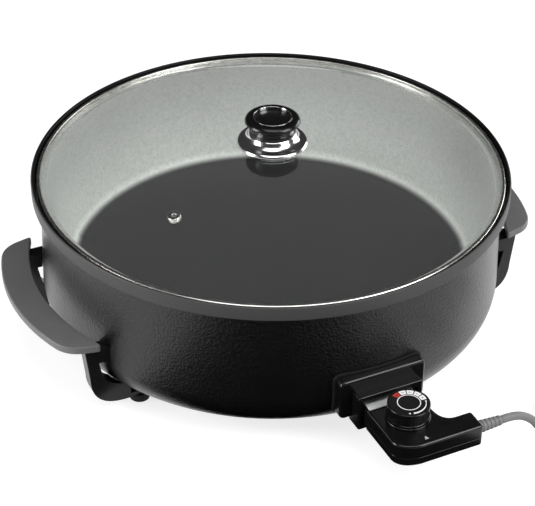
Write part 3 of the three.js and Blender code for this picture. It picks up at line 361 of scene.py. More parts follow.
    def cut(self, *others: Form) -> Form:
        """Cuts each of the other forms away."""
        for other in others:
            self.combined(other, Join.CUT)
        return self

    def joined(self, *others: Form) -> Form:
        """Adds each of the other forms."""
        for other in others:
            self.combined(other, Join.ADD)
        return self

    def as_object(self, name: str) -> bpy.types.Object:
        """Makes the form an object of the scene as it is, and ends the form."""
        mesh = bpy.data.meshes.new(name)
        self.bm.to_mesh(mesh)
        self.bm.free()
        return linked(name, mesh)

    def made(
        self, name: str, finish: Finish, body: Body, *nodes: str, crease: float = 32.0
    ) -> bpy.types.Object:
        """Makes the form a finished piece in metres.

        Args:
            name: the piece's name.
            finish: its finish.
            body: the body that it rides on.
            nodes: the nodes that it stands for.
            crease: the angle, in degrees, from which an edge is shaded sharp.

        Returns:
            The piece.
        """
        self.in_metres()
        limit = math.radians(crease)
        for face in self.bm.faces:
            face.smooth = True
        for edge in self.bm.edges:
            edge.smooth = edge.is_manifold and edge.calc_face_angle(0.0) < limit
        open_edges = sum(1 for edge in self.bm.edges if not edge.is_manifold)
        piece = self.as_object(name)
        if self.flat_faced:
            piece.modifiers.new("Flat faces", "WEIGHTED_NORMAL").keep_sharp = True
        dress(piece, finish, body, *nodes)
        if open_edges:
            LOG.warning("%s has %d open edges", name, open_edges)
        return piece


def linked(name: str, data: bpy.types.ID) -> bpy.types.Object:
    """Puts a new object in the scene."""
    made = bpy.data.objects.new(name, data)
    bpy.context.scene.collection.objects.link(made)
    return made


def finished(piece: bpy.types.Object, finish: Finish) -> None:
    """Gives a piece its finish as its only one."""
    piece.data.materials.clear()
    piece.data.materials.append(finish.material())


def dress(piece: bpy.types.Object, finish: Finish, body: Body, *nodes: str) -> None:
    """Gives a piece its finish and body, and hides the nodes that it stands for.

    Args:
        piece: the piece, in place.
        finish: its finish.
        body: the body that it rides on.
        nodes: the nodes that it stands for.
    """
    finished(piece, finish)
    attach(piece, body.value)
    if nodes:
        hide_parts(*nodes)
    LOG.info("%s rides on %s", piece.name, body.value)


# Shader maths


class Value:
    """A shader socket that Python's arithmetic works on."""

    def __init__(self, graph: Graph, socket: bpy.types.NodeSocket) -> None:
        """Wraps a socket of a graph."""
        self.graph = graph
        self.socket = socket

    def __add__(self, other: Value | float) -> Value:
        """Adds."""
        return self.graph.math("ADD", self, other)

    __radd__ = __add__

    def __mul__(self, other: Value | float) -> Value:
        """Multiplies."""
        return self.graph.math("MULTIPLY", self, other)

    __rmul__ = __mul__

    def __sub__(self, other: Value | float) -> Value:
        """Subtracts."""
        return self.graph.math("SUBTRACT", self, other)

    def __rsub__(self, other: float) -> Value:
        """Subtracts from a number."""
        return self.graph.math("SUBTRACT", other, self)

    def __pow__(self, power: float) -> Value:
        """Raises to a power."""
        return self.graph.math("POWER", self, power)

    def ramp(self, low: float, high: float) -> Value:
        """Goes smoothly from 0 at low to 1 at high, or the other way round where high is less."""
        if low > high:
            return 1.0 - self.ramp(high, low)
        node = self.graph.node("ShaderNodeMapRange", {"interpolation_type": "SMOOTHSTEP"},
                               {"Value": self, "From Min": low, "From Max": high})
        return Value(self.graph, node.outputs["Result"])


class Graph:
    """A material's nodes."""

    def __init__(self, name: str) -> None:
        """Starts a material with an output and nothing else."""
        self.material = bpy.data.materials.new(name)
        self.material.use_nodes = True
        self.tree = self.material.node_tree
        self.tree.nodes.clear()
        self.output = self.tree.nodes.new("ShaderNodeOutputMaterial")

    def node(
        self, kind: str, settings: dict[str, Any] | None = None,
        inputs: dict[str | int, Any] | None = None,
    ) -> bpy.types.Node:
        """Adds a node.

        Args:
            kind: the node's type.
            settings: its properties.
            inputs: a value, a Value or a socket for each of its inputs, by name or number.

        Returns:
            The node.
        """
        node = self.tree.nodes.new(kind)
        for name, setting in (settings or {}).items():
            setattr(node, name, setting)
        for key, value in (inputs or {}).items():
            self.feed(node.inputs[key], value)
        return node

    def feed(self, socket: bpy.types.NodeSocket, value: Any) -> None:
        """Links a value to a socket, or sets the socket to it."""
        source = value.socket if isinstance(value, Value) else value
        if isinstance(source, bpy.types.NodeSocket):
            self.tree.links.new(source, socket)
        else:
            socket.default_value = source

    def shader(self, kind: str, *inputs: Any) -> bpy.types.NodeSocket:
        """The first output of a node whose first inputs are given in order."""
        return self.node(kind, None, dict(enumerate(inputs))).outputs[0]

    def math(self, operation: str, first: Value | float, second: Value | float = 0.0) -> Value:
        """One operation on numbers."""
        node = self.node("ShaderNodeMath", {"operation": operation}, {0: first, 1: second})
        return Value(self, node.outputs[0])

    def mix(self, factor: Value | float, first: Any, second: Any) -> Value:
        """A colour that goes from first to second."""
        node = self.node("ShaderNodeMix", {"data_type": "RGBA"}, {0: factor, 6: first, 7: second})
        return Value(self, node.outputs[2])

    def place(self) -> tuple[bpy.types.NodeSocket, Value, Value, Value]:
        """The point on the piece in metres, as a vector and as its X, Y and Z."""
        coordinates = self.node("ShaderNodeTexCoord").outputs["Object"]
        parts = self.node("ShaderNodeSeparateXYZ", inputs={0: coordinates})
        x, y, z = (Value(self, parts.outputs[i]) for i in range(3))
        return coordinates, x, y, z

    def noise(
        self, size: float, detail: float = 2.0, rough: float = 0.5, at: Any = None
    ) -> Value:
        """Noise from about 0 to 1.

        Args:
            size: the size of its lumps in millimetres.
            detail: how many finer layers it has.
            rough: how strong those layers are.
            at: the vector that it is read at, or the point on the piece.

        Returns:
            The noise.
        """
        where = self.place()[0] if at is None else at
        node = self.node("ShaderNodeTexNoise", None, {
            "Vector": where, "Scale": 1 / (size * MM), "Detail": detail, "Roughness": rough})
        return Value(self, node.outputs[0])

    def bump(self, height: Value, depth: float, under: Any = None) -> bpy.types.NodeSocket:
        """A normal that is tilted by a height of up to depth millimetres."""
        inputs = {"Distance": depth * MM, "Height": height}
        if under is not None:
            inputs["Normal"] = under
        return self.node("ShaderNodeBump", None, inputs).outputs["Normal"]

    def principled(self, **inputs: Any) -> bpy.types.NodeSocket:
        """A surface shader; a word of an input's name is joined to the next by an underscore."""
        named = {name.replace("_", " ").title().replace("Ior", "IOR"): value
                 for name, value in inputs.items()}
        return self.node("ShaderNodeBsdfPrincipled", None, named).outputs[0]

    def rays(self, *kinds: str) -> Value:
        """1 for rays of any of the kinds, such as Shadow or Camera, and 0 for all others."""
        path = self.node("ShaderNodeLightPath")
        total = Value(self, path.outputs[f"Is {kinds[0]} Ray"])
        for kind in kinds[1:]:
            total = self.math("MAXIMUM", total, Value(self, path.outputs[f"Is {kind} Ray"]))
        return total

    def finished(self, surface: bpy.types.NodeSocket) -> bpy.types.Material:
        """Connects the surface to the output."""
        self.tree.links.new(surface, self.output.inputs["Surface"])
        return self.material


class RoomGraph(Graph):
    """The nodes of the light that comes from all round."""

    def __init__(self, name: str) -> None:
        """Makes the scene's world, with an output and nothing else."""
        world = bpy.data.worlds.new(name)
        bpy.context.scene.world = world
        world.use_nodes = True
        self.tree = world.node_tree
        self.tree.nodes.clear()
        self.output = self.tree.nodes.new("ShaderNodeOutputWorld")


# Finishes


def grey(level: float) -> Colour:
    """A grey of that brightness."""
    return (level, level, level, 1.0)


def shaded(colour: Colour, share: float) -> Colour:
    """A colour made darker or, with a share above 1, lighter."""
    return (colour[0] * share, colour[1] * share, colour[2] * share, 1.0)


@dataclass(frozen=True)
class Finish:
    """What every finish has: a name and the slot that it belongs to."""

    name: str
    slot: Slot

    def surface(self, graph: Graph) -> bpy.types.NodeSocket:
        """The finish's shader, which each kind of finish makes in its own way."""
        raise NotImplementedError

    def material(self) -> bpy.types.Material:
        """The finish's material, made when it is first asked for."""
        known = bpy.data.materials.get(self.name)
        if known is not None:
            return known
        graph = Graph(self.name)
        return graph.finished(self.surface(graph))


@dataclass(frozen=True)
class Moulded(Finish):
    """Moulded plastic or rubber with a fine grain."""

    colour: Colour
    roughness: float
    shine: float
    grain: float
    grain_depth: float
    wave: float = 14.0
    wave_depth: float = 0.02
    wave_share: float = 0.6
    mottle: float = 0.15
    wave_gloss: float = 0.1
    grain_gloss: float = 0.12

    def surface(self, graph: Graph) -> bpy.types.NodeSocket:
        """Grain over a slow unevenness, with slightly uneven colour and gloss."""
        wave = graph.noise(self.wave, 3.0)
        grain = graph.noise(self.grain)
        swell = graph.bump(wave, self.wave_depth)
        blend = wave * self.wave_share + grain * (1 - self.wave_share)
        uneven = (wave - 0.5) * self.wave_gloss + (grain - 0.5) * self.grain_gloss
        return graph.principled(
            base_color=graph.mix(blend, shaded(self.colour, 1 - self.mottle),
                                 shaded(self.colour, 1 + self.mottle)),
            roughness=self.roughness + uneven,
            specular_IOR_level=self.shine,
            normal=graph.bump(grain, self.grain_depth, swell),
        )


@dataclass(frozen=True)
class HammeredPaint(Finish):
    """Black paint baked to a hammered skin of small rounded pits."""

    colour: Colour = grey(0.003)
    mottle: Point = (0.8, 1.3)
    cloud: float = 30.0
    roughness: float = 0.32
    unevenness: float = 0.25
    shine: float = 0.3
    coat: float = 0.35
    coat_roughness: float = 0.3
    pit: float = 2.0
    pit_depth: float = 0.75
    pit_softness: float = 0.9
    pit_share: float = 0.65
    peel: float = 1.2
    peel_share: float = 0.5

    def surface(self, graph: Graph) -> bpy.types.NodeSocket:
        """Rounded pits with finer peel between them."""
        pits = graph.node("ShaderNodeTexVoronoi", {"feature": "SMOOTH_F1"}, {
            "Vector": graph.place()[0], "Scale": 1 / (self.pit * MM),
            "Smoothness": self.pit_softness, "Randomness": 1.0})
        peel = graph.noise(self.peel, 3.0, 0.6)
        height = Value(graph, pits.outputs["Distance"]) * self.pit_share + peel * self.peel_share
        dark, light = (shaded(self.colour, share) for share in self.mottle)
        return graph.principled(
            base_color=graph.mix(graph.noise(self.cloud), dark, light),
            roughness=self.roughness + (peel - 0.5) * self.unevenness,
            specular_IOR_level=self.shine,
            coat_weight=self.coat,
            coat_roughness=self.coat_roughness,
            normal=graph.bump(height, self.pit_depth),
        )


@dataclass(frozen=True)
class BowlCoating(Finish):
    """Non-stick coating: a speckled pale wall with painted shade towards its top, a dark floor, a
    black rim and a painted shadow on the rim's inner side.
    """

    wall: Colour = (0.80, 0.795, 0.77, 1.0)
    speck: Colour = (0.58, 0.585, 0.57, 1.0)
    # painted shade: the share of the wall's colours that is left at the top of the wall
    upper_wall_painted_shade: float = 0.54
    floor: Colour = (0.0055, 0.0058, 0.0055, 1.0)
    floor_mottle: float = 0.9
    rim: Colour = grey(0.055)
    # painted shadow: near black on the rim's inner side, in the gap under the lid's rim
    painted_groove_shadow: Colour = grey(0.002)
    groove_shadow_fade: Point = (208.2, 209.4)
    floor_fade: Point = (36.2, 40.4)
    wall_top: Point = (129.4, 130.2)
    inside: Point = (205.4, 206.0)
    grain: float = 0.9
    grain_depth: float = 0.006
    grain_share: float = 0.65
    speck_fade: Point = (0.36, 0.60)
    roughness: float = 0.45
    unevenness: float = 0.2
    shine: float = 0.18

    def surface(self, graph: Graph) -> bpy.types.NodeSocket:
        """The colours by height, with specks on the wall, painted shade towards the wall's top, a
        painted shadow on the rim's inner side and a fine grain everywhere.
        """
        _, x, y, z = graph.place()
        radius = (x * x + y * y) ** 0.5
        fine = graph.noise(self.grain, 3.0, 0.65)
        coarse = graph.noise(self.grain * 4, 3.0, 0.7)
        specks = (fine * self.grain_share + coarse * (1 - self.grain_share)).ramp(*self.speck_fade)
        # Painted shade: the wall's colours darken from the floor's edge up to the ledge.
        share = self.upper_wall_painted_shade
        low = graph.mix(specks, self.speck, self.wall)
        high = graph.mix(specks, shaded(self.speck, share), shaded(self.wall, share))
        wall = graph.mix(z.ramp(self.floor_fade[0] * MM, self.wall_top[0] * MM), low, high)
        above_floor = z.ramp(self.floor_fade[0] * MM, self.floor_fade[1] * MM)
        floor = graph.mix(coarse, shaded(self.floor, self.floor_mottle), self.floor)
        below_ledge = z.ramp(self.wall_top[1] * MM, self.wall_top[0] * MM)
        within = radius.ramp(self.inside[1] * MM, self.inside[0] * MM)
        # Painted shadow: inside these radii the rim's colour gives way to the near-black shadow
        # colour.
        bead = radius.ramp(self.groove_shadow_fade[0] * MM, self.groove_shadow_fade[1] * MM)
        return graph.principled(
            base_color=graph.mix(below_ledge * within, graph.mix(bead, self.painted_groove_shadow, self.rim),
                                 graph.mix(above_floor, floor, wall)),
            roughness=self.roughness + (fine - 0.5) * self.unevenness,
            specular_IOR_level=self.shine,
            normal=graph.bump(fine, self.grain_depth),
        )


@dataclass(frozen=True)
class Metal(Finish):
    """Polished, brushed or drawn metal."""

    colour: Colour
    roughness: float
    streak: float = 0.25
    streak_depth: float = 0.004
    streak_gloss: float = 0.08
    cloud: float = 18.0
    cloud_gloss: float = 0.06
    mottle: float = 0.92

    def surface(self, graph: Graph) -> bpy.types.NodeSocket:
        """Fine streaks that run round the axis."""
        _, x, y, z = graph.place()
        across = graph.shader("ShaderNodeCombineXYZ", (x * x + y * y) ** 0.5, z, 0.0)
        lines = graph.noise(self.streak, 3.0, 0.6, across)
        cloud = graph.noise(self.cloud)
        uneven = (lines - 0.5) * self.streak_gloss + (cloud - 0.5) * self.cloud_gloss
        return graph.principled(
            base_color=graph.mix(cloud, shaded(self.colour, self.mottle), self.colour),
            metallic=1.0,
            roughness=self.roughness + uneven,
            normal=graph.bump(lines, self.streak_depth),
        )


@dataclass(frozen=True)
class LidGlass(Finish):
    """Clear tempered glass that lamps shine through."""

    colour: Colour = (0.985, 0.995, 0.99, 1.0)
    shade: Colour = (0.93, 0.95, 0.94, 1.0)
    refraction: float = 1.45
    ripple: float = 60.0
    ripple_depth: float = 0.02

    def surface(self, graph: Graph) -> bpy.types.NodeSocket:
        """Glass, and a clear film for the rays that carry the lamps' light."""
        glass = graph.principled(
            base_color=self.colour,
            roughness=0.0,
            ior=self.refraction,
            transmission_weight=1.0,
            normal=graph.bump(graph.noise(self.ripple, 1.0), self.ripple_depth),
        )
        clear = graph.shader("ShaderNodeBsdfTransparent", self.shade)
        return graph.shader("ShaderNodeMixShader", graph.rays("Shadow", "Diffuse"), glass, clear)


@dataclass(frozen=True)
class Ink(Finish):
    """Printing ink, slightly uneven."""

    colour: Colour
    mottle: float = 0.9
    cloud: float = 0.5
    roughness: float = 0.5
    unevenness: float = 0.1
    shine: float = 0.3

    def surface(self, graph: Graph) -> bpy.types.NodeSocket:
        """Flat ink with a faint mottle."""
        cloud = graph.noise(self.cloud)
        return graph.principled(
            base_color=graph.mix(cloud, shaded(self.colour, self.mottle), self.colour),
            roughness=self.roughness + (cloud - 0.5) * self.unevenness,
            specular_IOR_level=self.shine,
        )


HAMMERED = HammeredPaint("hammered_black_paint", Slot.TEXTURED_BLACK)
COATING = BowlCoating("non_stick_coating", Slot.NON_STICK)
GLOSS = Moulded("gloss_black_plastic", Slot.GLOSS_BLACK, grey(0.004), 0.21, 0.42, 0.5, 0.002,
                22.0, 0.05)
SATIN = Moulded("satin_black_plastic", Slot.MATT_BLACK, grey(0.125), 0.42, 0.35, 0.45, 0.012,
                18.0, 0.03)
LEG_PLASTIC = Moulded("leg_black_plastic", Slot.GLOSS_BLACK, grey(0.008), 0.25, 0.3, 0.5, 0.003,
                      22.0, 0.05)
RUBBER = Moulded("black_rubber", Slot.RUBBER, grey(0.012), 0.7, 0.25, 0.5, 0.02)
GREY_PLASTIC = Moulded("grey_plastic", Slot.GREY_PLASTIC, grey(0.17), 0.42, 0.35, 0.6, 0.01)
CORD_JACKET = Moulded("grey_cord_jacket", Slot.CORD_RUBBER, grey(0.17), 0.5, 0.35, 0.5, 0.01)
FACE = Moulded("dial_face_black", Slot.MATT_BLACK, grey(0.006), 0.35, 0.3, 0.4, 0.004)
PLUG_PLASTIC = Moulded("plug_plastic", Slot.MATT_BLACK, grey(0.16), 0.45, 0.35, 0.5, 0.01)
CERAMIC = Moulded("fired_ceramic", Slot.CERAMIC, (0.72, 0.68, 0.60, 1.0), 0.6, 0.4, 0.4, 0.02)
STEEL = Metal("bright_steel", Slot.STEEL, (0.88, 0.865, 0.83, 1.0), 0.27)
SCREW_STEEL = Metal("screw_steel", Slot.STEEL, (0.62, 0.61, 0.60, 1.0), 0.32)
ELEMENT_STEEL = Metal("element_steel", Slot.STEEL, (0.42, 0.40, 0.38, 1.0), 0.45)
CHROME = Metal("chrome_plate", Slot.CHROME, (0.86, 0.86, 0.86, 1.0), 0.17, 0.5, 0.001)
BRASS = Metal("brass", Slot.BRASS, (0.78, 0.56, 0.24, 1.0), 0.3)
ALUMINIUM = Metal("cast_aluminium", Slot.ALUMINIUM, (0.70, 0.71, 0.72, 1.0), 0.42)
LID_GLASS = LidGlass("lid_glass_clear", Slot.GLASS)
WHITE_INK = Ink("white_ink", Slot.MATT_BLACK, grey(0.80))
RED_INK = Ink("red_ink", Slot.MATT_BLACK, (0.42, 0.035, 0.022, 1.0))
DARK_INK = Ink("dark_ink", Slot.MATT_BLACK, grey(0.02))
GREY_INK = Ink("grey_ink", Slot.MATT_BLACK, grey(0.36))


# The camera and the studio


@dataclass
class PhotoCamera:
    """The camera that took the photograph: its place, turn and frame."""

    frame_width: float = 535.0
    focal_pixels: float = 1700.0
    right_pixels: float = 40.0
    down_pixels: float = 40.579
    distance: float = 1573.575
    sideways: float = 34.536
    elevation: float = 36.084
    azimuth: float = 27.7
    roll: float = 1.7205
    sensor: float = 36.0

    def placed(self) -> None:
        """Puts the camera in the scene."""
        lens = bpy.data.cameras.new("photo_camera")
        lens.sensor_width = self.sensor
        lens.lens = self.focal_pixels * self.sensor / self.frame_width
        lens.shift_x = -self.right_pixels / self.frame_width
        lens.shift_y = self.down_pixels / self.frame_width
        camera = linked("photo_camera", lens)
        tilt = math.radians(90 - self.elevation)
        turn = Matrix.Rotation(-math.radians(self.azimuth), 4, "Z")
        stand = Matrix.Translation((self.sideways * MM, 0, 0)) @ Matrix.Rotation(tilt, 4, "X")
        back = Matrix.Translation((0, 0, self.distance * MM))
        camera.matrix_world = turn @ stand @ back @ Matrix.Rotation(math.radians(self.roll), 4, "Z")
        bpy.context.scene.camera = camera


@dataclass
class Softbox:
    """A lamp with an oblong face that is aimed at the pan, placed as the camera sees it."""

    name: str
    place: tuple[float, float, float]
    width: float
    height: float
    power: float
    aim: tuple[float, float, float] = (0.0, 0.0, 60.0)

    def placed(self, turn: Matrix) -> None:
        """Puts the lamp in the scene, turned with the camera and unseen by it."""
        lamp = bpy.data.lights.new(self.name, "AREA")
        lamp.shape = "RECTANGLE"
        lamp.size, lamp.size_y = self.width * MM, self.height * MM
        lamp.energy = self.power
        holder = linked(self.name, lamp)
        start = turn @ Vector(self.place) * MM
        facing = (Vector(self.aim) * MM - start).to_track_quat("-Z", "Y")
        holder.matrix_world = Matrix.Translation(start) @ facing.to_matrix().to_4x4()
        holder.visible_camera = False


@dataclass
class Studio:
    """A pale floor, the lamps and the light of the room."""

    azimuth: float
    floor_reach: float = 9000.0
    floor_colour: Colour = grey(0.8)
    seen_floor_colour: Colour = grey(0.42)
    floor_lift: float = 0.75
    room_light: float = 0.2
    mirrored_room_light: float = 0.05
    flag_x: Point = (-150.0, 220.0)
    flag_y: Point = (-1100.0, -180.0)
    flag_rise: float = 1.0
    lamps: tuple[Softbox, ...] = (
        Softbox("top_softbox", (0.0, -700.0, 1750.0), 1300.0, 1300.0, 13.0),
        Softbox("left_front_softbox", (-1205.0, -480.0, 440.0), 560.0, 800.0, 15.0),
        Softbox("right_front_softbox", (1080.0, -550.0, 1000.0), 850.0, 1100.0, 18.0),
        Softbox("right_back_softbox", (1240.0, 840.0, 430.0), 900.0, 700.0, 9.0),
    )

    @staticmethod
    def staged(name: str, form: Form, material: bpy.types.Material) -> bpy.types.Object:
        """Makes a form in millimetres a thing of the studio that isn't part of the skillet."""
        thing = form.in_metres().as_object(name)
        thing.data.materials.append(material)
        return thing

    def floor(self) -> None:
        """Lays the floor, which stays white where nothing shades it."""
        graph = Graph("pale_floor")
        base, matt = (graph.shader("ShaderNodeBsdfDiffuse", colour)
                      for colour in (self.floor_colour, self.seen_floor_colour))
        glow = graph.node("ShaderNodeEmission", None, {1: self.floor_lift}).outputs[0]
        lifted = graph.shader("ShaderNodeAddShader", matt, glow)
        seen = graph.rays("Camera", "Glossy", "Transmission")
        mixed = graph.shader("ShaderNodeMixShader", seen, base, lifted)
        form = Form()
        bmesh.ops.create_grid(form.bm, x_segments=1, y_segments=1, size=self.floor_reach)
        self.staged("floor", form.moved(z=TABLE), graph.finished(mixed))

    def flag(self) -> None:
        """Lays a black card in front of the pan that only reflections show."""
        graph = Graph("black_card")
        black = graph.shader("ShaderNodeBsdfDiffuse", grey(0.0))
        form = Form.slab(rectangle(*self.flag_x, *self.flag_y, OVERRUN), TABLE,
                         TABLE + self.flag_rise)
        card = self.staged("black_card", form.turned(-self.azimuth), graph.finished(black))
        card.visible_camera = card.visible_diffuse = card.visible_shadow = False
        card.visible_transmission = False

    def room(self) -> None:
        """Lights the room evenly, dim for reflections, and shows it white where it is seen."""
        graph = RoomGraph("room")
        seen = graph.rays("Camera", "Transmission")
        mirrored = graph.rays("Glossy")
        unseen = self.room_light + mirrored * (self.mirrored_room_light - self.room_light)
        level = unseen + seen * (1.0 - unseen)
        background = graph.node("ShaderNodeBackground", None, {1: level}).outputs[0]
        graph.tree.links.new(background, graph.output.inputs["Surface"])

    def built(self) -> None:
        """Puts the floor, the room, the card and the lamps in the scene."""
        self.floor()
        self.room()
        self.flag()
        turn = Matrix.Rotation(-math.radians(self.azimuth), 3, "Z")
        for lamp in self.lamps:
            lamp.placed(turn)
        bpy.context.scene.view_settings.view_transform = "Standard"


# The pan


@dataclass
class Housing:
    """The outer shell of the pan, its base cover and their screws."""

    radius: float = 205.6
    mouth_radius: float = 202.0
    wall: float = 0.8
    corner: float = 37.0
    opening: float = 140.0
    bottom: float = 1.5
    top: float = 126.2
    cover_radius: float = 160.0
    cover_thickness: float = 1.2
    cover_edge: float = 0.5
    screw_circle: float = 150.0
    screw_count: int = 3

    def profile(self, growth: float) -> list[Point]:
        """The outside from the mouth down to the flat underside, grown by a gap."""
        middle = (self.radius - self.corner, self.bottom + self.corner)
        corner = arc(middle, self.corner + growth, 0, -90, 16)
        return [(self.mouth_radius + growth, self.top), *corner]

    def body(self, growth: float) -> Form:
        """The outside as a full body, grown by a gap, that its neighbours are fitted to."""
        return Form.lathe([(0.0, self.top), *self.profile(growth), (0.0, self.bottom - growth)])

    def built(self, window: Form) -> None:
        """Makes the shell, with a window for the socket, and the cover."""
        profile = [*self.profile(0.0), (self.opening, self.bottom),
                   (self.opening, self.bottom + self.wall), *self.profile(-self.wall)[::-1]]
        Form.lathe(profile).cut(window).made("housing_shell", HAMMERED, Body.PAN, "housing")
        edge, high = self.cover_edge, self.cover_thickness
        cover = rounded([(0, 0, 0), (self.cover_radius, 0, edge), (self.cover_radius, high, edge),
                         (0, high, 0)], 3)
        Form.lathe(cover).made("base_plate", HAMMERED, Body.PAN, "base_cover")
        for i in range(self.screw_count):
            x, y = spot(self.screw_circle, 90 + 360 * i / self.screw_count)
            Screw().form().moved(x, y, -CLEARANCE).made(
                f"base_plate_screw_{i + 1}", SCREW_STEEL, Body.PAN, f"base_screw_{i + 1}")


@dataclass
class Screw:
    """A pan-head screw with a cross recess, its head's bearing face at z = 0."""

    radius: float = 2.0
    head_radius: float = 3.8
    head_height: float = 2.0
    reach: float = 14.0
    cross_width: float = 0.9
    cross_length: float = 4.2
    cross_depth: float = 1.1
    dome_share: float = 0.8

    def form(self) -> Form:
        """The screw, pointing up."""
        low, dome = -self.head_height, self.head_height * self.dome_share
        form = Form.lathe([
            (0.0, low), *arc((self.head_radius - dome, low + dome), dome, -90, 0, 5),
            (self.head_radius, 0.0), (self.radius, 0.0), (self.radius, self.reach),
            (0.0, self.reach)], SMALL_STEPS // 2)
        half, reach, depth = self.cross_width / 2, self.cross_length / 2, self.cross_depth
        for x, y in ((half, reach), (reach, half)):
            form.cut(Form.box((-x, x), (-y, y), (low - OVERRUN, low + depth)))
        return form


@dataclass
class Bowl:
    """The bowl with its ledge for the lid and its rolled rim."""

    rim_radius: float = 210.0
    rim_width: float = 3.0
    rim_top: float = 137.5
    rim_height: float = 13.0
    rim_lower_edge: float = 1.5
    ledge_top: float = 129.0
    ledge_thickness: float = 2.5
    mouth_radius: float = 195.5
    wall: float = 2.5
    floor_top: float = 36.0
    floor_thickness: float = 3.0
    floor_radius: float = 173.0
    floor_fillet: float = 11.0
    ledge_edge: float = 1.2

    def built(self) -> None:
        """Makes the bowl in one turn."""
        inner, bead = self.rim_radius - self.rim_width, self.rim_width / 2
        foot = self.floor_radius + self.floor_fillet
        middle = (self.floor_radius, self.floor_top + self.floor_fillet)
        lean = math.degrees(math.atan2(self.mouth_radius - foot, self.ledge_top - middle[1]))
        underside = self.ledge_top - self.ledge_thickness
        low, edge = self.rim_top - self.rim_height, self.rim_lower_edge
        ledge = rounded([(inner, self.rim_top, 0), (inner, self.ledge_top, self.ledge_edge),
                         (self.mouth_radius, self.ledge_top, self.ledge_edge),
                         (foot, middle[1], 0)], 4)
        Form.lathe([
            (0.0, self.floor_top - self.floor_thickness),
            *arc(middle, self.floor_fillet + self.floor_thickness, -90, -lean, 10),
            (self.mouth_radius + self.wall, underside),
            (inner, underside),
            (inner, low),
            *arc((self.rim_radius - edge, low + edge), edge, -90, 0, 4),
            *arc((self.rim_radius - bead, self.rim_top - bead), bead, 0, 180, 16),
            *ledge[1:-1],
            *arc(middle, self.floor_fillet, -lean, -90, 12),
            (0.0, self.floor_top),
        ]).made("cooking_bowl", COATING, Body.PAN, "bowl")


@dataclass
class Heater:
    """The terminals that show in the socket, and the finishes of the CAD model's own pieces."""

    pin_radius: float = 2.375
    pin_spread: float = 13.0
    pin_back: float = 189.7
    pin_front: float = 221.0
    height: float = 27.5
    tip_share: float = 0.8
    finishes: tuple[tuple[Finish, str], ...] = (
        (ALUMINIUM, "heat_spreader probe_sleeve"),
        (ELEMENT_STEEL, "heating_element"),
        (SCREW_STEEL, "element_clip_left element_clip_right socket_screw_left socket_screw_right "
         "left_front_handle_screw left_rear_handle_screw right_front_handle_screw "
         "right_rear_handle_screw knob_screw dial_spindle"),
        (CERAMIC, "terminal_insulator thermostat"),
        (RUBBER, "knob_washer"),
    )

    def built(self, nodes: dict[str, bpy.types.Object]) -> None:
        """Makes the pins and finishes the pieces that stay as the CAD model has them.

        Args:
            nodes: the frame's pieces by name.
        """
        length = self.pin_front - self.pin_back
        for side, sign in SIDES:
            pin = Form.rod(self.pin_radius, length, self.pin_radius * self.tip_share)
            pin.turned(90, "X").moved(sign * self.pin_spread, -self.pin_back, self.height).made(
                f"socket_pin_{side}", SCREW_STEEL, Body.PAN, f"terminal_pin_{side}")
        for finish, names in self.finishes:
            for name in names.split():
                finished(nodes[name], finish)
                LOG.info("%s is finished in %s", name, finish.name)


@dataclass
class Socket:
    """The flanged socket on the front of the housing and its gasket."""

    half_width: float = 39.5
    bottom: float = 23.0
    top: float = 61.0
    face: float = 213.0
    rounding: float = 5.0
    edge: float = 2.5
    gasket_thickness: float = 1.5
    gasket_margin: float = 1.5
    block_half_width: float = 29.5
    block_bottom: float = 18.8
    block_top: float = 52.0
    block_face: float = 226.0
    block_rounding: float = 2.0
    block_edge: float = 1.0
    block_wall: float = 4.2
    mouth_bottom: float = 21.6
    mouth_top: float = 46.0
    neck_half_width: float = 21.5
    neck_bottom: float = 20.0
    neck_top: float = 44.5
    neck_wall: float = 1.0
    neck_back: float = 196.0
    window_gap: float = 0.6

    def window(self) -> Form:
        """The hole that the neck passes through."""
        half = self.neck_half_width + self.window_gap
        return Form.box((-half, half), (-self.face - OVERRUN, -self.neck_back + OVERRUN),
                        (self.neck_bottom - self.window_gap, self.neck_top + self.window_gap))

    def gasket(self, housing: Housing) -> None:
        """Makes the gasket, which follows the housing's curve."""
        margin = self.gasket_margin
        outline = rectangle(-self.half_width - margin, self.half_width + margin,
                            self.bottom - margin, self.top + margin, self.rounding + margin)
        sheet = Form.upright(outline, -self.face, -self.neck_back)
        sheet.combined(housing.body(CLEARANCE + self.gasket_thickness), Join.KEEP_COMMON)
        sheet.cut(housing.body(CLEARANCE), self.window())
        sheet.made("flange_gasket", RUBBER, Body.PAN, "socket_gasket")

    def shroud(self, housing: Housing) -> None:
        """Makes the flange, the block with its mouth, and the neck."""
        plate = rectangle(-self.half_width, self.half_width, self.bottom, self.top, self.rounding)
        form = Form.upright(plate, -self.face, -self.neck_back, self.edge)
        form.cut(housing.body(self.gasket_thickness + 2 * CLEARANCE))
        half, neck, back = self.block_half_width, self.neck_half_width, self.neck_back
        block = rectangle(-half, half, self.block_bottom, self.block_top, self.block_rounding)
        form.joined(
            Form.upright(block, -self.block_face, -self.face + self.edge, self.block_edge),
            Form.box((-neck, neck), (-self.face, -back), (self.neck_bottom, self.neck_top)))
        mouth, wall = half - self.block_wall, self.neck_wall
        inner = neck - wall
        form.cut(
            Form.box((-mouth, mouth), (-self.block_face - OVERRUN, -self.face),
                     (self.mouth_bottom, self.mouth_top)),
            Form.box((-inner, inner), (-self.block_face, OVERRUN - back),
                     (self.neck_bottom + wall, self.neck_top - wall)))
        form.made("socket_housing", GLOSS, Body.PAN, "socket_shroud")

    def built(self, housing: Housing) -> None:
        """Makes the gasket and the shroud."""
        self.gasket(housing)
        self.shroud(housing)


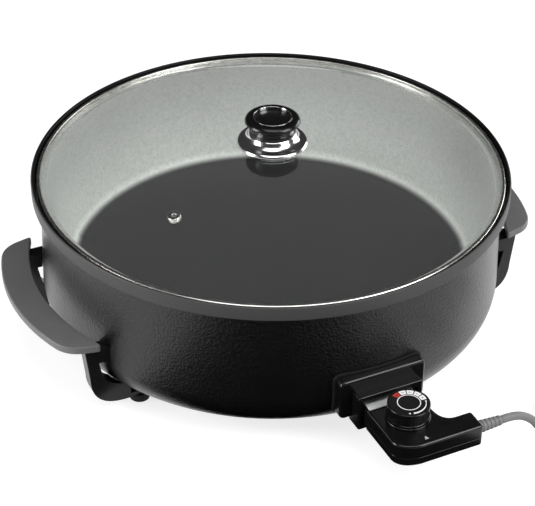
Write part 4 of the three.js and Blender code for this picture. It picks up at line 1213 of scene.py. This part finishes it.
@dataclass
class Handles:
    """The two grips, the four legs that carry them and the feet."""

    grip_inner: float = 217.0
    grip_outer: float = 243.5
    inner_bend: float = 195.0
    outer_bend: float = 190.0
    inner_half: float = 88.5
    outer_half: float = 81.8
    grip_top: float = 64.5
    grip_thickness: float = 7.0
    outer_corner: float = 14.0
    inner_corner: float = 6.0
    grip_edge: float = 1.9
    leg_middle: float = 76.0
    leg_thickness: float = 13.0
    top_outer: float = 210.0
    top_inner: float = 201.0
    low_inner: float = 195.2
    low_outer: float = 206.6
    bend_top: float = 27.0
    bend_middle: Point = (192.5, 17.0)
    bend_foot: float = 12.0
    sole: float = -4.0
    step: float = 171.0
    shelf: float = -3.0
    base: float = 1.5
    end: float = 146.0
    heel: float = 30.0
    leg_edge: float = 1.4
    arm_low: float = 42.0
    arm_high: float = 55.0
    arm_reach: float = 6.0
    foot_radius: float = 8.8
    foot_place: float = 161.0
    foot_edge: float = 1.0
    foot_top_edge: float = 0.3

    def grip_outline(self) -> list[Point]:
        """A band between two arcs, the inner one the longer, with rounded ends."""
        edges = []
        for reach, radius, half, corner in (
            (self.grip_outer, self.outer_bend, self.outer_half, self.outer_corner),
            (self.grip_inner, self.inner_bend, self.inner_half, self.inner_corner),
        ):
            middle, turn = (reach - radius, 0.0), math.degrees(math.asin(half / radius))
            edge = arc(middle, radius, 0, turn - math.degrees(corner / radius), 24)
            edges.append((edge, Vector(spot(radius, turn, middle)), corner))
        (outer, outer_tip, outer_corner), (inner, inner_tip, inner_corner) = edges
        inner.reverse()
        along = (inner_tip - outer_tip).normalized()
        side = [*outer, *bend(outer[-1], outer_tip, outer_tip + along * outer_corner, 12),
                *bend(inner_tip - along * inner_corner, inner_tip, inner[0], 8), *inner]
        side = [here for i, here in enumerate(side) if i == 0 or math.dist(here, side[i - 1]) > MM]
        return side + [(x, -y) for x, y in side[-2:0:-1]]

    def leg_outline(self) -> list[Point]:
        """The side view of a leg: down from the grip, round under the pan and along it."""
        top = self.grip_top - self.grip_thickness - CLEARANCE
        base = self.base - CLEARANCE
        inner_bend, toe = (self.low_inner, self.bend_top), (self.low_outer - self.heel, self.sole)
        return [
            (self.top_outer, top),
            (self.top_inner, top),
            inner_bend,
            *bend(inner_bend, self.bend_middle, (self.step, self.bend_foot), 12),
            (self.step, base),
            (self.end, base),
            (self.end, self.shelf),
            (self.step, self.shelf),
            (self.step, self.sole),
            toe,
            *bend(toe, (self.low_outer, self.sole), (self.low_outer, self.sole + self.heel), 14),
        ]

    def leg(self, housing: Housing) -> Form:
        """One leg for the corner with positive X and Y, fitted to the housing."""
        half = self.leg_thickness / 2
        front, back = self.leg_middle - half, self.leg_middle + half
        wall = math.sqrt(housing.radius**2 - self.leg_middle**2)
        column = Form.upright(self.leg_outline(), front, back, self.leg_edge, self.leg_edge)
        arm = Form.box((wall - OVERRUN, self.top_inner + self.arm_reach), (front, back),
                       (self.arm_low, self.arm_high))
        return column.joined(arm).cut(housing.body(CLEARANCE))

    def foot(self) -> Form:
        """One rubber foot under the origin."""
        radius, top = self.foot_radius, self.shelf - CLEARANCE
        return Form.lathe(rounded([(0, TABLE, 0), (radius, TABLE, self.foot_edge),
                                   (radius, top, self.foot_top_edge), (0, top, 0)], 4), SMALL_STEPS)

    def built(self, housing: Housing) -> None:
        """Makes both sides."""
        low = self.grip_top - self.grip_thickness
        for side, x in SIDES:
            grip = Form.slab(self.grip_outline(), low, self.grip_top, self.grip_edge,
                             self.grip_edge, 5)
            grip.mirrored(x).made(f"{side}_grip", SATIN, Body.PAN, f"{side}_handle")
            for end, y in (("front", -1), ("rear", 1)):
                corner = f"{side}_{end}"
                self.leg(housing).mirrored(x, y).made(
                    f"{corner}_support", LEG_PLASTIC, Body.PAN, f"{corner}_leg")
                self.foot().moved(x * self.foot_place, y * self.leg_middle).made(
                    f"{corner}_sole", RUBBER, Body.PAN, f"{corner}_foot")


# The lid


@dataclass
class Lid:
    """The domed glass with its steel rim and vent."""

    rim_outer: float = 205.5
    rim_wall: float = 0.8
    rim_top_reach: float = 3.6
    rim_rise: float = 2.2
    rim_low_reach: float = 3.2
    rim_roll: float = 1.9
    rim_lip: float = 0.6
    rim_low_edge: float = 0.5
    bottom: float = 129.3
    apex: float = 163.0
    thickness: float = 3.0
    flat: float = 200.6
    screw_hole: float = 3.0
    vent_circle: float = 130.0
    vent_angle: float = 206.0
    vent_hole: float = 3.6
    vent_bore: float = 2.0
    vent_flange: float = 5.6
    vent_height: float = 1.2
    vent_edges: tuple[float, float, float] = (0.3, 0.8, 0.5)

    def __post_init__(self) -> None:
        """Works out the dome's radius from its rise over the flat edge."""
        low = self.bottom + self.rim_wall + CLEARANCE
        rise = self.apex - self.thickness - low
        self.dome = (self.flat**2 + rise**2) / (2 * rise)

    def height(self, radius: float) -> float:
        """The height of the glass's upper face at a distance from the axis."""
        return self.apex - self.dome + math.sqrt(self.dome**2 - radius**2)

    def at_vent(self, form: Form) -> Form:
        """Tilts a form to the glass and puts it at the vent."""
        lean = math.degrees(math.asin(self.vent_circle / self.dome))
        form.turned(lean, "Y").moved(self.vent_circle, 0, self.height(self.vent_circle))
        return form.turned(self.vent_angle)

    def glass(self) -> None:
        """Makes the dome with its vent hole."""
        reach, thickness = self.flat - self.screw_hole, self.thickness
        radii = [self.screw_hole + reach * i / GLASS_ROWS for i in range(GLASS_ROWS + 1)]
        edge = self.rim_outer - self.rim_wall - CLEARANCE
        upper = [(r, self.height(r)) for r in radii] + [(edge, self.height(self.flat))]
        profile = [(r, z - thickness) for r, z in upper] + upper[::-1]
        hole = Form.rod(self.vent_hole + CLEARANCE, thickness + 2 * OVERRUN)
        hole = self.at_vent(hole.moved(z=-thickness - OVERRUN))
        Form.lathe(profile).cut(hole).made("lid_dome", LID_GLASS, Body.LID, "lid_glass")

    def rim(self) -> None:
        """Makes the rolled steel rim."""
        outer, wall = self.rim_outer, self.rim_wall
        top_lip, low_lip = outer - self.rim_top_reach, outer - self.rim_low_reach
        high = self.height(self.flat) + CLEARANCE
        low = high - self.thickness - 2 * CLEARANCE
        Form.lathe(rounded([
            (outer, low - wall, self.rim_low_edge),
            (outer, high + self.rim_rise, self.rim_roll),
            (top_lip, high + self.rim_rise, self.rim_lip),
            (top_lip, high, 0),
            (outer - wall, high, 0),
            (outer - wall, low, 0),
            (low_lip, low, 0),
            (low_lip, low - wall, 0),
        ], 5)).made("lid_band", STEEL, Body.LID, "lid_rim")

    def vent(self) -> None:
        """Makes the grommet that lines the vent."""
        bore, flange, hole = self.vent_bore, self.vent_flange, self.vent_hole
        low, top = -self.thickness - CLEARANCE, CLEARANCE + self.vent_height
        base, (base_edge, top_edge, bore_edge) = low - self.vent_height, self.vent_edges
        profile = rounded([
            (bore, base, base_edge), (flange, base, base_edge), (flange, low, 0), (hole, low, 0),
            (hole, CLEARANCE, 0), (flange, CLEARANCE, 0), (flange, top, top_edge),
            (bore, top, bore_edge)], 4)
        self.at_vent(Form.lathe(profile, SMALL_STEPS)).made(
            "vent_ring", STEEL, Body.LID, "vent_grommet")

    def built(self) -> None:
        """Makes the glass, the rim and the vent."""
        self.glass()
        self.rim()
        self.vent()


@dataclass
class Knob:
    """The lid's knob: a chrome skirt, a black cap and the chrome ring in its top."""

    skirt_radius: float = 31.0
    skirt_neck: float = 20.8
    skirt_height: float = 10.0
    skirt_wall: float = 1.2
    skirt_flare: float = 3.3
    flare_turn: float = 78.0
    waist_pull: Point = (1.7, 0.6)
    waist_rise: float = 6.0
    cap_low: float = 20.3
    cap_waist: float = 19.4
    cap_waist_rise: float = 2.6
    cap_flare_pull: Point = (0.4, 6.8)
    cap_widest: float = 24.3
    cap_widest_rise: float = 10.5
    cap_height: float = 15.0
    recess_radius: float = 17.3
    recess_depth: float = 3.0
    ring_wall: float = 0.8
    ring_edge: float = 0.3
    screw_radius: float = 2.4

    def skirt(self, base: float) -> None:
        """Makes the flared chrome skirt that stands on the glass."""
        top, flare, wall = self.skirt_height, self.skirt_flare, self.skirt_wall
        neck, shoulder = self.skirt_neck, self.skirt_radius - flare
        pull = (neck + self.waist_pull[0], flare + self.waist_pull[1])
        hole = self.screw_radius + CLEARANCE
        rise = arc((shoulder, 0.0), flare, 0, self.flare_turn, 8)
        Form.lathe([
            *rise, *bend(rise[-1], pull, (neck, top - wall / 2), 10), (neck - wall / 2, top),
            (hole, top), (hole, top - wall), (neck - wall, top - wall),
            (neck - wall, self.waist_rise - wall), (shoulder, flare - wall),
            (self.skirt_radius - wall, 0.0),
        ]).moved(z=base).made("knob_base", CHROME, Body.LID, "knob_skirt", crease=40)

    def cap(self, base: float) -> None:
        """Makes the black cap, waisted below and hollowed on top."""
        widest, reach, top = self.cap_widest_rise, self.cap_widest, self.cap_height
        corner = reach - self.recess_radius - self.ring_wall
        crown = [(reach - corner + corner * x, widest + (top - widest) * z)
                 for x, z in arc((0.0, 0.0), 1.0, 0, 90)]
        waist, pull = (self.cap_waist, self.cap_waist_rise), self.cap_flare_pull
        flank = bend(waist, (waist[0] + pull[0], pull[1]), (reach, widest), 12)
        low = top - self.recess_depth
        Form.lathe([
            (0.0, 0.0), (self.cap_low, 0.0), waist, *flank[:-1], *crown,
            (self.recess_radius, top), (self.recess_radius, low), (0.0, low),
        ]).moved(z=base).made("knob_grip", GLOSS, Body.LID, "knob_cap")

    def ring(self, base: float) -> None:
        """Makes the thin chrome ring that lines the hollow."""
        top, edge = base + self.cap_height, self.ring_edge
        low, outer = top - self.recess_depth + CLEARANCE, self.recess_radius - CLEARANCE
        inner = outer - self.ring_wall
        Form.lathe(rounded([
            (inner, low, 0), (outer, low, 0), (outer, top, edge), (inner, top, edge)], 4)).made(
                "knob_trim_ring", CHROME, Body.LID, "knob_ring")

    def built(self, lid: Lid) -> None:
        """Makes the knob on the lid."""
        stand = lid.height(self.skirt_radius) + CLEARANCE
        self.skirt(stand)
        stand += self.skirt_height + CLEARANCE
        self.cap(stand)
        self.ring(stand)


# The controller


@dataclass
class Controller:
    """The plug-in controller: two shells, a collar, the probe and its contacts."""

    heater: Heater
    dial: Dial
    left: float = 25.0
    right: float = 24.5
    back: float = 232.0
    front: float = 287.5
    top: float = 42.5
    bottom: float = 22.3
    seam: float = 30.0
    wall: float = 2.0
    edge: float = 1.6
    top_edge: float = 3.0
    fine_edge: float = 0.3
    corner: float = 20.0
    arm_end: float = 51.5
    arm_back: float = 267.0
    arm_notch: float = 250.0
    arm_corner: float = 3.0
    arm_fillet_share: float = 0.75
    corner_side_share: float = 0.72
    corner_bulge_shares: Point = (0.08, 0.1)
    collar_front: float = 222.0
    collar_half_width: float = 24.5
    collar_bottom: float = 22.5
    collar_top: float = 42.3
    collar_rounding: float = 2.0
    collar_edge: float = 0.6
    strip: float = 0.6
    strip_edge: float = 0.2
    probe_radius: float = 3.0
    probe_tip_share: float = 0.9
    probe_tip: float = 142.0
    probe_back: float = 240.0
    contact_bore: float = 2.675
    contact_wall: float = 0.9
    contact_front: float = 205.0
    contact_back: float = 238.0
    pedestal_radius: float = 18.6
    pedestal_height: float = 2.4
    pedestal_edge: float = 0.8
    seat_radius: float = 4.4
    seat_inset: float = 1.0
    well_radius: float = 3.1
    well_depth: float = 2.2
    screw_places: dict[str, Point] = field(default_factory=lambda: {
        "controller_screw_front": (-17.5, -269.0),
        "controller_screw_arm": (39.0, -277.25),
    })
    marker_place: Point = (2.0, -280.2)
    marker_size: Point = (4.0, 4.2)
    marker_reach: Point = (-0.2, 0.08)

    def plan(self, inset: float) -> list[Point]:
        """The plan: a square body behind the dial and an arm for the cord."""
        left, right = -self.left + inset, self.right - inset
        back, front = -self.back - inset, -self.front + inset
        end, rear, notch = self.arm_end - inset, -self.arm_back - inset, -self.arm_notch - inset
        corner, tight = self.corner - inset, self.arm_corner
        bulge_x, bulge_y = self.corner_bulge_shares
        start = (left, front + corner * self.corner_side_share)
        pull = (left + corner * bulge_x, front + corner * bulge_y)
        foot = (right + (notch - rear) * self.arm_fillet_share, rear)
        near, far = (end - tight, front), (end, rear - tight)
        return [
            (left, back), start, *bend(start, pull, (left + corner, front), 14),
            near, *bend(near, (end, front), (end, front + tight), 6),
            far, *bend(far, (end, rear), (end - tight, rear), 6),
            foot, *bend(foot, (right, rear), (right, notch), 12), (right, back),
        ]

    def bores(self) -> list[Form]:
        """The cutters for the probe and the two contacts, from the collar to behind them."""
        front, height, spread = self.collar_front, self.heater.height, self.heater.pin_spread
        contact = self.contact_bore + self.contact_wall + CLEARANCE
        return [
            Form.rod(radius, self.probe_back - front + OVERRUN).turned(90, "X").moved(
                x, OVERRUN - front, height)
            for radius, x in ((self.probe_radius + CLEARANCE, 0.0), (contact, spread),
                              (contact, -spread))]

    def shells(self) -> None:
        """Makes the upper and the lower shell, hollow and parted at the seam."""
        split, fine, wall, x, y = CLEARANCE / 2, self.fine_edge, self.wall, self.dial.x, self.dial.y
        upper = Form.slab(self.plan(0), self.seam + split, self.top, self.top_edge, fine, 6)
        upper.cut(Form.slab(self.plan(wall), self.bottom, self.top - wall))
        radius, low = self.pedestal_radius, self.top - wall / 2
        high = self.top + self.pedestal_height
        pedestal = Form.lathe(rounded([
            (0, low, 0), (radius, low, 0), (radius, high, self.pedestal_edge), (0, high, 0)], 4))
        upper.joined(pedestal.moved(x, y))
        shaft = Form.rod(self.dial.spindle_radius + CLEARANCE, self.top)
        upper.cut(shaft.moved(x, y, self.seam), *self.bores())
        upper.made("upper_shell", GLOSS, Body.CONTROLLER, "controller_top")
        lower = Form.slab(self.plan(0), self.bottom, self.seam - split, fine, self.edge)
        lower.cut(Form.slab(self.plan(wall), self.bottom + wall, self.top))
        height = self.seam - self.bottom - 2 * self.seat_inset
        for x, y in self.screw_places.values():
            seat = Form.rod(self.seat_radius, height).moved(x, y, self.bottom + self.seat_inset)
            well = Form.rod(self.well_radius, self.well_depth + OVERRUN)
            lower.joined(seat).cut(well.moved(x, y, self.bottom - OVERRUN))
        lower.cut(*self.bores())
        lower.made("lower_shell", GLOSS, Body.CONTROLLER, "controller_bottom")

    def collar(self) -> None:
        """Makes the collar that fits the socket, with the grey strip along its top."""
        half, low = self.collar_half_width, self.collar_top - self.strip
        back, front = CLEARANCE - self.back, -self.collar_front
        outline = rectangle(-half, half, self.collar_bottom, low, self.collar_rounding)
        collar = Form.upright(outline, back, front, self.fine_edge, self.collar_edge)
        collar.cut(*self.bores()).made(
            "plug_collar", GLOSS, Body.CONTROLLER, "controller_collar")
        half -= self.collar_rounding
        strip = rectangle(-half, half, low - CLEARANCE, self.collar_top, CLEARANCE)
        Form.upright(strip, back, front, self.strip_edge, self.strip_edge).made(
            "collar_strip", GREY_PLASTIC, Body.CONTROLLER)

    def inserts(self) -> None:
        """Makes the probe and the two contacts."""
        back, height = CLEARANCE - self.probe_back, self.heater.height
        probe = Form.rod(self.probe_radius, -back - self.probe_tip,
                         self.probe_radius * self.probe_tip_share)
        probe.turned(-90, "X").moved(0, back, height).made(
            "heat_probe", STEEL, Body.CONTROLLER, "temperature_probe")
        front, bore = self.contact_front, self.contact_bore
        for side, sign in SIDES:
            tube = Form.rod(bore + self.contact_wall, self.contact_back - CLEARANCE - front,
                            bore=(bore, self.heater.pin_front + OVERRUN - front))
            tube.turned(90, "X").moved(sign * self.heater.pin_spread, -front, height).made(
                f"contact_tube_{side}", BRASS, Body.CONTROLLER, f"contact_{side}")

    def details(self) -> None:
        """Makes the shells' screws and the index mark."""
        small = Screw(radius=1.5, head_radius=2.8, head_height=1.6, reach=10.0, cross_width=0.7,
                      cross_length=3.0, cross_depth=0.8)
        for name, (x, y) in self.screw_places.items():
            small.form().moved(x, y, self.bottom + self.well_depth - CLEARANCE).made(
                name.replace("screw", "shell_screw"), SCREW_STEEL, Body.CONTROLLER, name)
        (x, y), (wide, long), edge = self.marker_place, self.marker_size, self.fine_edge
        marker = rounded([(x - wide / 2, y - long / 2, edge), (x + wide / 2, y - long / 2, edge),
                          (x, y + long / 2, edge)], 3)
        Form.slab(marker, *(self.top + reach for reach in self.marker_reach)).made(
            "index_mark", GREY_INK, Body.CONTROLLER)

    def built(self) -> None:
        """Makes all of the controller but its dial and cord."""
        self.shells()
        self.collar()
        self.inserts()
        self.details()


@dataclass
class Dial:
    """The dial knob with its printed face."""

    x: float = 1.0
    y: float = -252.5
    base: float = 45.2
    top: float = 58.0
    radius: float = 17.6
    edge: float = 0.8
    low_edge: float = 0.4
    bead: float = 1.3
    chamfer: float = 0.3
    waist: float = 0.35
    rib_count: int = 60
    rib_depth: float = 0.22
    rib_root: float = 0.05
    rib_steps: int = 6
    recess: float = 0.8
    face_radius: float = 16.4
    face_thickness: float = 0.5
    face_edge: float = 0.15
    spindle_radius: float = 3.0
    spindle_reach: float = 6.0
    ink: float = 0.05
    field_inner: float = 10.5
    field_outer: float = 15.2
    field_width: float = 23.0
    field_pitch: float = 27.0
    first_field: float = 3.0
    numbers: tuple[str, ...] = ("80", "120", "160", "200", "240")
    number_height: float = 2.1
    ring_radius: float = 9.3
    ring_width: float = 0.7
    sweep_middle: float = 13.8
    sweep_angles: Point = (-103.0, -21.0)
    sweep_widths: Point = (1.6, 0.5)
    sweep_steps: int = 24
    dot_radius: float = 0.75
    dot_gap: float = 3.5
    off_angle: float = -116.0

    def knob(self) -> None:
        """Makes the knob with a bead above and below and fine ribs between."""
        top, edge, lip = self.top, self.edge, self.face_radius + CLEARANCE
        radius, waist, fine = self.radius, self.radius - self.waist, self.low_edge
        low, high, floor = self.base + self.bead, top - self.bead - edge, top - self.recess
        form = Form.lathe([
            (0.0, self.base),
            *arc((radius - fine, self.base + fine), fine, -90, 0, 3),
            (radius, low),
            (waist, low + self.chamfer),
            (waist, high - self.chamfer),
            (radius, high),
            *arc((radius - edge, top - edge), edge, 0, 90, 5),
            (lip, top),
            (lip, floor),
            (0.0, floor),
        ])
        steps, ribs = self.rib_count * self.rib_steps, []
        for turn in (360 * i / steps for i in range(steps)):
            wave = max(0.0, math.cos(math.radians(turn * self.rib_count)))
            ribs.append(spot(waist - self.rib_root + self.rib_depth * wave, turn))
        form.joined(Form.slab(ribs, low, high))
        bore = Form.rod(self.spindle_radius + CLEARANCE, OVERRUN + self.spindle_reach + CLEARANCE)
        form.cut(bore.moved(z=self.base - OVERRUN))
        form.moved(self.x, self.y).made("dial_grip", GLOSS, Body.DIAL, "dial_knob")

    def printed(self, forms: list[Form], name: str, finish: Finish) -> None:
        """Joins flat forms that lie apart into one printed piece on the face."""
        whole = Form()
        for form in forms:
            mesh = bpy.data.meshes.new(name)
            form.bm.to_mesh(mesh)
            form.bm.free()
            whole.bm.from_mesh(mesh)
            bpy.data.meshes.remove(mesh)
        whole.moved(self.x, self.y, self.face_level()).made(name, finish, Body.DIAL)

    def face_level(self) -> float:
        """The height of the face's upper side."""
        return self.top - self.recess + CLEARANCE + self.face_thickness

    def number(self, text: str, angle: float) -> Form:
        """A number whose top points to the dial's middle.

        Args:
            text: the number.
            angle: where it stands round the dial, in degrees.

        Returns:
            The number as thin solid ink over the field that it stands on.
        """
        curve = bpy.data.curves.new("number", "FONT")
        curve.body = text
        curve.size = self.number_height
        curve.align_x, curve.align_y = "CENTER", "CENTER"
        curve.extrude = self.ink / 2
        holder = linked("number", curve)
        depsgraph = bpy.context.evaluated_depsgraph_get()
        mesh = bpy.data.meshes.new_from_object(holder.evaluated_get(depsgraph))
        form = Form()
        form.bm.from_mesh(mesh)
        bpy.data.meshes.remove(mesh)
        bpy.data.curves.remove(curve)
        bmesh.ops.remove_doubles(form.bm, verts=form.bm.verts[:], dist=MM)
        middle = (self.field_inner + self.field_outer) / 2
        return form.moved(0, -middle, self.ink * 1.5).turned(angle + 90)

    def face(self) -> None:
        """Makes the face plate and prints its scale."""
        level, ink, half = self.face_level(), self.ink, self.field_width / 2
        plate = Form.rod(self.face_radius, self.face_thickness, self.face_edge, steps=ROUND_STEPS)
        plate.moved(self.x, self.y, level - self.face_thickness).made(
            "dial_plate", FACE, Body.DIAL, "dial_face")
        fields, numbers = [], []
        for i, text in enumerate(self.numbers):
            angle = self.first_field + self.field_pitch * i
            first, last = angle - half, angle + half
            fields.append(Form.slab(arc((0, 0), self.field_outer, first, last, 10)
                                    + arc((0, 0), self.field_inner, last, first, 10), 0, ink))
            numbers.append(self.number(text, angle))
        red = fields.pop()
        inner = self.ring_radius - self.ring_width / 2
        outer = inner + self.ring_width
        ring = Form.lathe([(inner, 0), (outer, 0), (outer, ink), (inner, ink)])
        (start, end), (wide, thin) = self.sweep_angles, self.sweep_widths
        outward, inward = [], []
        for share in (i / self.sweep_steps for i in range(self.sweep_steps + 1)):
            for points, side in ((outward, 0.5), (inward, -0.5)):
                reach = self.sweep_middle + side * (wide + (thin - wide) * share)
                points.append(spot(reach, start + (end - start) * share))
        sweep = Form.slab(outward + inward[::-1], 0, ink)
        dots = [Form.rod(self.dot_radius, ink, steps=24).moved(*spot(self.sweep_middle, angle))
                for angle in (end + self.dot_gap, self.off_angle)]
        self.printed([*fields, ring, sweep, *dots], "dial_scale_white", WHITE_INK)
        self.printed([red], "dial_scale_red", RED_INK)
        self.printed(numbers, "dial_numbers", DARK_INK)

    def built(self) -> None:
        """Makes the knob and its face."""
        self.knob()
        self.face()


# The cord


@dataclass
class Cord:
    """The lead from the controller to its plug, with the spare length coiled and tied."""

    radius: float = 3.5
    length: float = 0.984
    run: list[tuple[float, float, float]] = field(default_factory=lambda: [
        (75.3, -277.25, 32.4),
        (82.0, -277.25, 32.4),
        (90.3, -277.5, 31.3),
        (98.0, -278.1, 28.1),
        (104.6, -279.0, 23.0),
        (108.2, -279.6, 18.8),
        (112.2, -280.4, 13.0),
        (116.2, -281.3, 7.3),
        (119.8, -282.2, 3.0),
        (126.4, -284.0, -2.1),
        (134.1, -286.6, -5.3),
        (142.4, -289.8, -6.4),
        (148.4, -292.2, -6.4),
    ])
    coil_x: float = 188.0
    coil_y: float = -258.0
    coil_start: float = 248.0
    coil_turns: float = 3.25
    coil_inner: float = 34.0
    coil_pitch: float = 7.7
    coil_low: float = -6.4
    steps_per_turn: int = 24
    tie_thickness: float = 0.8
    tie_width: float = 6.0
    tie_corner: float = 2.5
    tie_edge: float = 0.2
    tie_angle: float = 160.0
    plug_x: float = 242.0
    plug_start: float = -233.0
    plug_radius: float = 18.5
    plug_length: float = 34.0
    plug_boot: float = 14.0
    boot_radius: float = 5.2
    shoulder: float = 9.0
    plug_rounding: float = 3.0
    plug_steps: int = 96
    pin_radius: float = 2.4
    pin_length: float = 19.0
    pin_tip_share: float = 0.9
    pin_spread: float = 9.5
    relief_radius: float = 5.4
    relief_tip: float = 4.3
    relief_start: float = 51.8
    relief_end: float = 75.0
    relief_flange: Point = (4.2, 2.6)
    relief_neck: float = 4.2
    relief_ribs: int = 6
    relief_groove: float = 0.7
    rib_share: float = 0.6
    rib_edge: float = 0.35

    def coil(self) -> list[Vector]:
        """The turns: in on the lower layer, up in half a turn, and out on the upper one."""
        total = self.coil_turns * math.tau
        steps = round(self.coil_turns * self.steps_per_turn)
        points = []
        for i in range(steps + 1):
            turned = total * i / steps
            from_middle = turned - total / 2
            radius = self.coil_inner + self.coil_pitch * abs(from_middle) / math.tau
            share = min(1.0, max(0.0, from_middle / math.pi + 0.5))
            rise = self.coil_pitch * share * share * (3 - 2 * share)
            angle = self.coil_start + math.degrees(turned)
            points.append(Vector((*spot(radius, angle, (self.coil_x, self.coil_y)),
                                  self.coil_low + rise)))
        return points

    def route(self) -> list[Vector]:
        """The whole way from the strain relief to the plug."""
        coil = self.coil()
        arriving = (coil[0] - coil[1]).normalized() * self.radius
        leaving = (coil[-1] - coil[-2]).normalized() * self.radius
        lead_in = [coil[0] + arriving * 5, coil[0] + arriving * 2]
        lead_out = [coil[-1] + leaving * 2, coil[-1] + leaving * 5]
        entry = [Vector((self.plug_x, self.plug_start - gap, TABLE + self.plug_radius))
                 for gap in (self.radius * 3, CLEARANCE)]
        return [Vector(p) for p in self.run] + lead_in + coil + lead_out + entry

    def lead(self) -> bpy.types.Object:
        """Makes the lead as one curve."""
        points = self.route()
        curve = bpy.data.curves.new("power_cord", "CURVE")
        curve.dimensions = "3D"
        curve.bevel_depth = self.radius * MM
        curve.bevel_resolution = 6
        curve.resolution_u = 6
        curve.use_fill_caps = True
        spline = curve.splines.new("BEZIER")
        spline.bezier_points.add(len(points) - 1)
        for knot, point in zip(spline.bezier_points, points):
            knot.co = point * MM
            knot.handle_left_type = knot.handle_right_type = "AUTO"
        lead = linked("power_cord", curve)
        dress(lead, CORD_JACKET, Body.CONTROLLER, "cord_run", "cord_coil", "cord_tail")
        return lead

    def tie(self) -> bpy.types.Object:
        """Makes the band round the turns."""
        gap, wall, half = self.radius + CLEARANCE, self.tie_thickness, self.tie_width / 2
        low, high = self.coil_low - gap, self.coil_low + self.coil_pitch + gap
        spread = self.coil_turns / 2 - 1 / (4 * self.coil_turns)
        inside, outside = self.coil_inner - gap, self.coil_inner + self.coil_pitch * spread + gap
        corner, edge = self.tie_corner, self.tie_edge
        outer = rectangle(inside - wall, outside + wall, low - wall, high + wall, wall + corner)
        inner = rectangle(inside, outside, low, high, corner)
        band = Form.upright(outer, -half, half, edge, edge, 2)
        band.cut(Form.upright(inner, -half - OVERRUN, half + OVERRUN))
        return band.turned(self.tie_angle).moved(self.coil_x, self.coil_y).made(
            "cord_band", RUBBER, Body.CONTROLLER, "cord_tie")

    def plug(self) -> list[bpy.types.Object]:
        """Makes the plug and its two pins."""
        boot, radius, end = self.plug_boot, self.plug_radius, self.plug_boot + self.plug_length
        wide, shoulder = self.boot_radius, boot + self.shoulder
        profile = rounded([
            (0, 0, 0), (self.radius + CLEARANCE, 0, 0.4), (wide, boot / 2, 3.0), (wide, boot, 2.0),
            (radius - self.plug_rounding, shoulder, 4.0),
            (radius, shoulder + self.plug_rounding, 1.5), (radius, end, 1.2), (0, end, 0)], 6)
        height, start = TABLE + radius, self.plug_start + end + CLEARANCE
        body = Form.lathe(profile, self.plug_steps).turned(-90, "X")
        pieces = [body.moved(self.plug_x, self.plug_start, height).made(
            "mains_plug", PLUG_PLASTIC, Body.CONTROLLER, "plug")]
        for i, (_, sign) in enumerate(SIDES, 1):
            pin = Form.rod(self.pin_radius, self.pin_length, self.pin_radius * self.pin_tip_share)
            pin.turned(-90, "X").moved(self.plug_x + sign * self.pin_spread, start, height)
            pieces.append(pin.made(f"mains_pin_{i}", BRASS, Body.CONTROLLER, f"plug_pin_{i}"))
        return pieces

    def relief(self) -> bpy.types.Object:
        """Makes the ribbed strain relief."""
        start, wide, neck = self.relief_start, self.relief_radius, self.relief_neck
        back, front = (start - gap for gap in self.relief_flange)
        corners = [(0.0, back, 0.0), (wide, back, 0.0), (wide, front, 0.0), (neck, front, 0.0),
                   (neck, start, 0.0)]
        pitch = (self.relief_end - start) / self.relief_ribs
        for i in range(self.relief_ribs):
            radius = wide + (self.relief_tip - wide) * i / (self.relief_ribs - 1)
            x, low, edge = start + pitch * i, radius - self.relief_groove, self.rib_edge
            end = x + pitch * self.rib_share
            corners += [(radius, x, edge), (radius, end, edge), (low, end, 0.0),
                        (low, x + pitch, 0.0)]
        corners.append((0.0, self.relief_end, 0.0))
        form = Form.lathe(rounded(corners, 3), SMALL_STEPS).turned(90, "Y")
        return form.moved(0, *self.run[0][1:]).made(
            "cord_relief", CORD_JACKET, Body.CONTROLLER, "strain_relief")

    def built(self) -> None:
        lead = self.lead()
        on_it = [self.tie(), *self.plug(), self.relief()]


def main() -> None:
    """Builds the whole skillet round the frame."""
    logging.basicConfig(level=logging.INFO, format="%(message)s")
    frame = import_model()
    camera, housing, socket, heater = PhotoCamera(), Housing(), Socket(), Heater()
    lid, dial = Lid(), Dial()
    camera.placed()
    Cord().built()
    Studio(camera.azimuth).built()
    housing.built(socket.window())
    Bowl().built()
    heater.built(frame["nodes"])
    socket.built(housing)
    Handles().built(housing)
    lid.built()
    Knob().built(lid)
    Controller(heater, dial).built()
    dial.built()


if __name__ == "__main__":
    main()
